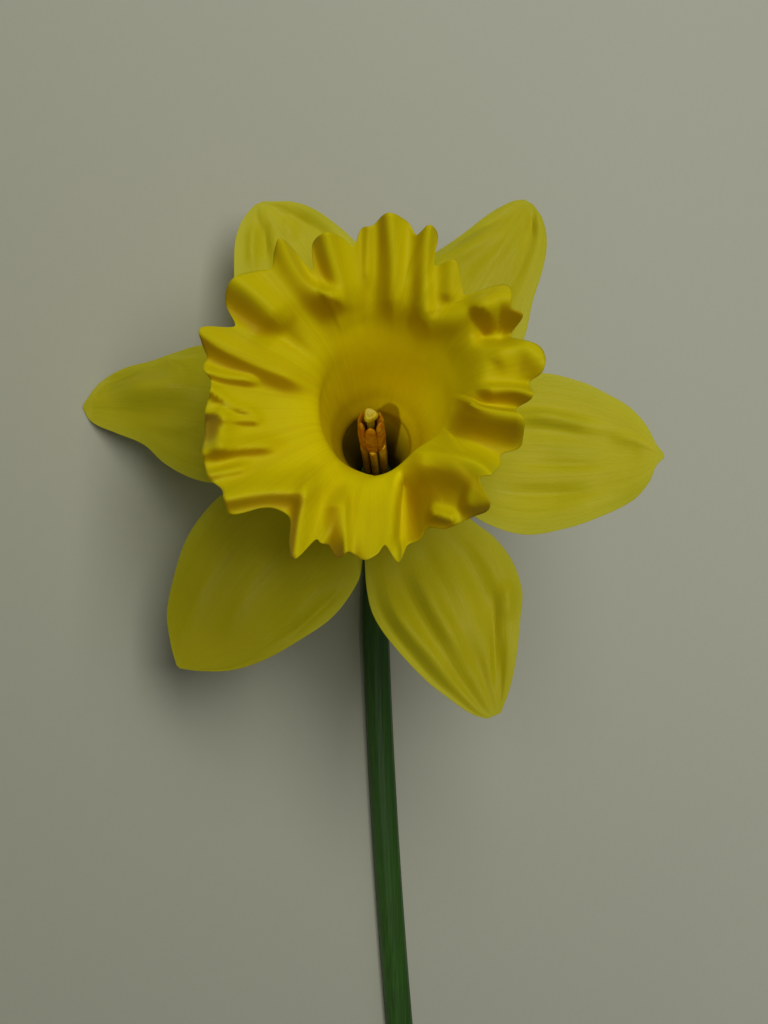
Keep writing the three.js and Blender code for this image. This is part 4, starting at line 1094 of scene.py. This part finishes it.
def tepal_material():
    look = Finish("tepal_yellow", 0.58, 0.15, (0.3, 0.0014, (1.0, 0.75, 0.1)))
    across, along, margin = (look.field(name) for name in ("across", "along", "margin"))
    veins = look.streaks([(across, 26.0), (along, 0.05)], 4.0, 0.6)
    fine = look.streaks([(across, 75.0), (along, 0.12)], 2.0, depth=4.0)
    patch = look.noise(look.place(), 90.0, 2.0, 0.5)
    body = look.mix(look.span(patch, *PATCHES), *TEPAL_YELLOWS)
    body = look.mix(look.span(veins, 0.42, 0.7, 0.0, 0.4), body, TEPAL_VEIN)
    body = look.mix(look.span(margin, 0.2, 2.6, 0.5, 0.0), body, TEPAL_RIM)
    body = look.mix(look.span(along, 9.0, 22.0, 0.55, 0.0), body, TEPAL_BASE)
    # painted shade: a deeper yellow by each tepal's share of shade
    body = look.mix(look.field("painted_shade"), body, TEPAL_PAINTED_SHADE)
    relief = look.plus(look.times(veins, 0.7), look.times(fine, 0.3))
    normal = look.bump(relief, 0.00035, 0.3)
    grain = look.bump(look.noise(look.place(), 2600.0, 2.0), 0.00002, 0.5, normal)
    return look.finish(body, grain, look.span(veins, 0.3, 0.7, 0.44, 0.56))


def corona_material():
    look = Finish("corona_deep_yellow", 0.6, 0.12, (0.18, 0.0012, (1.0, 0.65, 0.03)))
    x, y, station, height = (look.field(name) for name in ("turn_x", "turn_y", "station", "height"))
    ribs = look.streaks([(x, 17.0), (y, 17.0), (station, 0.7)], 4.0, 0.6)
    fine = look.streaks([(x, 60.0), (y, 60.0), (station, 1.6)], 2.0)
    body = look.mix(look.span(ribs, 0.36, 0.68), *CORONA_YELLOWS)
    # painted shade: ruffle flanks that face away from the window are turned brown
    body = look.mix(look.times(look.field("ruffle_painted_shade"), 0.75), body, CORONA_PAINTED_SHADE)
    # painted light: the inner wall on the right, from 5 to 34 mm up, is made brighter, as if lit by light
    # bounced into the trumpet; towards the top a deeper yellow stands for painted shade
    inner = look.times(look.span(height, 5.0, 14.0), look.span(height, 26.0, 34.0, 1.0, 0.0))
    inner = look.times(inner, look.span(x, -0.75, 0.1, 0.0, 0.85))
    inside = look.mix(look.span(y, 0.3, 0.9), CORONA_INSIDE_PAINTED_LIGHT, CORONA_INSIDE_TOP_PAINTED_SHADE)
    body = look.mix(inner, body, inside)
    # painted shade: the wall darkens down into the throat, more on the left
    throat = look.times(look.span(height, -1.0, 11.0, 1.0, 0.0), look.span(x, -0.6, 0.6, 1.0, 0.35))
    body = look.mix(throat, body, CORONA_THROAT_PAINTED_SHADE)
    relief = look.plus(look.times(ribs, 0.6), look.times(fine, 0.35))
    normal = look.bump(relief, 0.0003, 0.18)
    grain = look.bump(look.noise(look.place(), 2200.0, 3.0), 0.00003, 0.5, normal)
    return look.finish(body, grain, look.span(ribs, 0.3, 0.7, 0.52, 0.64))


def stem_material():
    look = Finish("stem_green", 0.42, 0.4, (0.1, 0.001, PLAIN_GLOW))
    look.set("Coat Weight", 0.08)
    look.set("Coat Roughness", 0.35)
    back = look.field("back")
    drawn_out = look.node("Mapping", {"Vector": look.place(), "Scale": (1.0, 0.02, 1.0)})
    streaks = look.noise(drawn_out, 2600.0, 3.0)
    blotch = look.noise(look.place(), 60.0, 3.0)
    body = look.mix(look.span(streaks, *PATCHES), *STEM_GREENS)
    body = look.mix(look.span(blotch, 0.45, 0.7, 0.0, 0.5), body, STEM_BLOTCH)
    body = look.mix(look.span(back, -15.0, -4.0, 0.7, 0.0), body, PEDICEL_PALE)
    cut = look.span(back, STEM_LENGTH - 1.1, STEM_LENGTH - 0.4, 0.0, 0.75)
    body = look.mix(cut, body, STEM_CUT)
    return look.finish(body, look.bump(streaks, 0.00012, 0.25), look.span(blotch, 0.3, 0.7, 0.36, 0.5))


def tube_material():
    look = Finish("tube_green_yellow", 0.5, 0.3, (0.3, 0.0014, (1.0, 0.8, 0.15)))
    height = look.field("height")
    blotch = look.noise(look.place(), 500.0, 3.0)
    outside = look.mix(look.span(height, -20.0, -3.0), *TUBE_OUTER)
    outside = look.mix(look.span(blotch, 0.45, 0.7, 0.0, 0.5), outside, TUBE_BLOTCH)
    # painted shade and light inside the tube: darker on the left, lighter on the right, and darker further
    # down
    lip = look.mix(look.span(look.field("turn_x"), -0.5, 0.5), *TUBE_LIP_PAINTED_SHADE_AND_LIGHT)
    within = look.mix(look.span(height, -12.0, -1.0), TUBE_DEEP_PAINTED_SHADE, lip)
    body = look.mix(look.field("inside"), outside, within)
    return look.finish(body, look.bump(blotch, 0.0002, 0.4))


def spathe_material():
    look = Finish("spathe_papery", 0.75, 0.2, (0.2, 0.001, (1.0, 0.6, 0.3)))
    veins = look.streaks([(look.field("across"), 16.0), (look.field("along"), 0.12)], 4.0, 0.6)
    blotch = look.noise(look.place(), 160.0, 4.0)
    body = look.mix(look.span(veins, *PATCHES), *SPATHE_BROWNS)
    body = look.mix(look.span(blotch, 0.5, 0.7, 0.0, 0.6), body, SPATHE_BLOTCH)
    return look.finish(body, look.bump(look.plus(veins, blotch), 0.0003, 0.7))


def pollen_material():
    look = Finish("anther_pollen", 0.9, 0.08)
    grains = look.node("TexVoronoi", {"Vector": look.place(), "Scale": 4200.0})
    blotch = look.noise(look.place(), 700.0, 3.0)
    body = look.mix(look.span(blotch, *PATCHES), *POLLEN)
    return look.finish(body, look.bump(grains, 0.00006, 0.7))


def blotched_material(look, colours, scale, bump):
    """Two colours in soft blotches, with the bump's height in metres."""
    blotch = look.noise(look.place(), scale, 3.0)
    body = look.mix(look.span(blotch, *PATCHES), *colours)
    return look.finish(body, look.bump(blotch, bump, 0.4))


def pod_material():
    look = Finish("seed_pod_green", 0.4, 0.4, (0.15, 0.001, PLAIN_GLOW))
    return blotched_material(look, POD_GREENS, 220.0, 0.0002)


def filament_material(name, colours):
    look = Finish(name, 0.45, 0.35, (0.25, 0.0008, PLAIN_GLOW))
    return blotched_material(look, colours, 420.0, 0.0001)


def floor_material():
    look = Finish("floor_pale", 0.8, 0.2)
    broad = look.noise(look.place(), 3.0, 4.0)
    grain = look.noise(look.place(), 260.0, 4.0)
    body = look.mix(look.span(broad, 0.3, 0.7), *FLOOR_PALES)
    # painted shade: the floor darkens away from one side, as if the light fell off across it
    inputs = {0: look.place(), 1: FLOOR_PAINTED_LIGHT_TOWARD}
    towards = look.node("VectorMath", inputs, output="Value", operation="DOT_PRODUCT")
    body = look.mix(look.span(towards, -0.2, 0.25, 0.75, 0.0), body, FLOOR_PAINTED_SHADE)
    return look.finish(body, look.bump(grain, 0.0003, 0.25))


# ---- camera, light and floor
LENS = 70.0
SENSOR_WIDTH = 36.0
CLIP = (0.01, 20.0)  # metres, as are the distances and widths below
# A direction is [to the right, above, towards the camera].
WINDOW_FROM = (0.27, 0.31, 0.90)
WINDOW_DISTANCE = 1.3
WINDOW_WIDTH = 0.7
WINDOW_SHAPE = 1.3  # its height over its width
WINDOW_POWER = 7.9
WINDOW_COLOUR = (1.0, 0.98, 0.94)
THROAT_FROM = (-0.2, -0.1, 0.97)  # a small soft lamp that shines down the trumpet
THROAT_MIDDLE = np.array([2.0, -1.0, 20.0])  # mm beside, above and along the bloom's axis
THROAT_DISTANCE = 0.6
THROAT_SOFTNESS = 0.01
THROAT_CONE = 2.3  # degrees
THROAT_POWER = 7.6
THROAT_COLOUR = (1.0, 0.95, 0.8)
FILL_STRENGTH = 0.09
FILL_COLOUR = (0.95, 0.98, 1.0, 1.0)
FLOOR_SIZE = 3.0
FLOOR_STEPS = 12
FLOOR_DROP = 0.02  # mm below the surface on which the flower lies


def placed(name, data, position, towards):
    """A camera or lamp that looks along its own -Z, with its own Y as near to the frame's as may be."""
    thing = bpy.data.objects.new(name, data)
    bpy.context.collection.objects.link(thing)
    back = (Vector(position) - Vector(towards)).normalized()
    right = Vector(Y).cross(back).normalized()
    turn = Matrix((right, back.cross(right), back)).transposed()
    thing.matrix_world = Matrix.Translation(position) @ turn.to_4x4()
    return thing


def camera():
    data = bpy.data.cameras.new("view")
    data.lens, data.sensor_width = LENS, SENSOR_WIDTH
    data.clip_start, data.clip_end = CLIP
    target = BLOOM + SIDE * CENTRE_ASIDE - Y * CENTRE_BELOW
    position = (target + FACE * DISTANCE) / 1000
    bpy.context.scene.camera = placed("view", data, Vector(position), target / 1000)


def lamp(name, kind, power, colour, direction, middle, distance):
    data = bpy.data.lights.new(name, kind)
    data.energy, data.color = power, colour
    towards = SIDE * direction[0] + Y * direction[1] + FACE * direction[2]
    middle = Vector(middle / 1000)
    placed(name, data, middle + Vector(towards / np.linalg.norm(towards)) * distance, middle)
    return data


def lights():
    window = lamp("window", "AREA", WINDOW_POWER, WINDOW_COLOUR, WINDOW_FROM, BLOOM, WINDOW_DISTANCE)
    window.shape, window.size, window.size_y = "RECTANGLE", WINDOW_WIDTH, WINDOW_WIDTH * WINDOW_SHAPE
    middle = in_bloom(*THROAT_MIDDLE)
    throat = lamp("throat", "SPOT", THROAT_POWER, THROAT_COLOUR, THROAT_FROM, middle, THROAT_DISTANCE)
    throat.shadow_soft_size = THROAT_SOFTNESS
    throat.spot_size, throat.spot_blend = math.radians(THROAT_CONE), 1.0
    world = bpy.data.worlds.new("room")
    world.use_nodes = True
    background = world.node_tree.nodes["Background"]
    background.inputs["Color"].default_value = FILL_COLOUR
    background.inputs["Strength"].default_value = FILL_STRENGTH
    bpy.context.scene.world = world
    bpy.context.scene.view_settings.view_transform = "Standard"


def floor():
    place = np.linspace(-FLOOR_SIZE / 2, FLOOR_SIZE / 2, FLOOR_STEPS) * 1000
    points = np.array([[x, y, -FLOOR_DROP] for x in place for y in place])
    piece = make_mesh("floor", points, grid_faces(FLOOR_STEPS, FLOOR_STEPS, False).tolist(), smooth=False)
    if piece.data.polygons[0].normal.z < 0:
        piece.data.flip_normals()
    piece.data.materials.append(floor_material())


# ---- assembly
def stands_for(piece, material, slot, *nodes):
    piece.data.materials.append(material)
    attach(piece, "root")
    if nodes:
        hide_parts(*nodes)


camera()
lights()
floor()

tepal_look = tepal_material()
for tepal, painted_shades in zip(TEPALS, TEPAL_PAINTED_SHADES):
    stands_for(tepal_piece(tepal, painted_shades), tepal_look, "tepals", tepal["name"])
stands_for(trumpet_piece(), corona_material(), "corona", "trumpet")
stands_for(tube_piece(), tube_material(), "tube", "flower_tube")
stands_for(ovary_piece(), pod_material(), "stem", "ovary")
stands_for(stem_piece(), stem_material(), "stem", "stem")
stands_for(spathe_piece(), spathe_material(), "spathe", "spathe")
stands_for(style_piece(), filament_material("style_pale", STYLE_YELLOWS), "style", "style")
filaments, anthers = stamen_pieces()
pale = filament_material("filament_pale", FILAMENT_YELLOWS)
pollen = pollen_material()
for piece in filaments:
    stands_for(piece, pale, "anthers")
for piece in anthers:
    stands_for(piece, pollen, "anthers")
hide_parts("stamens")
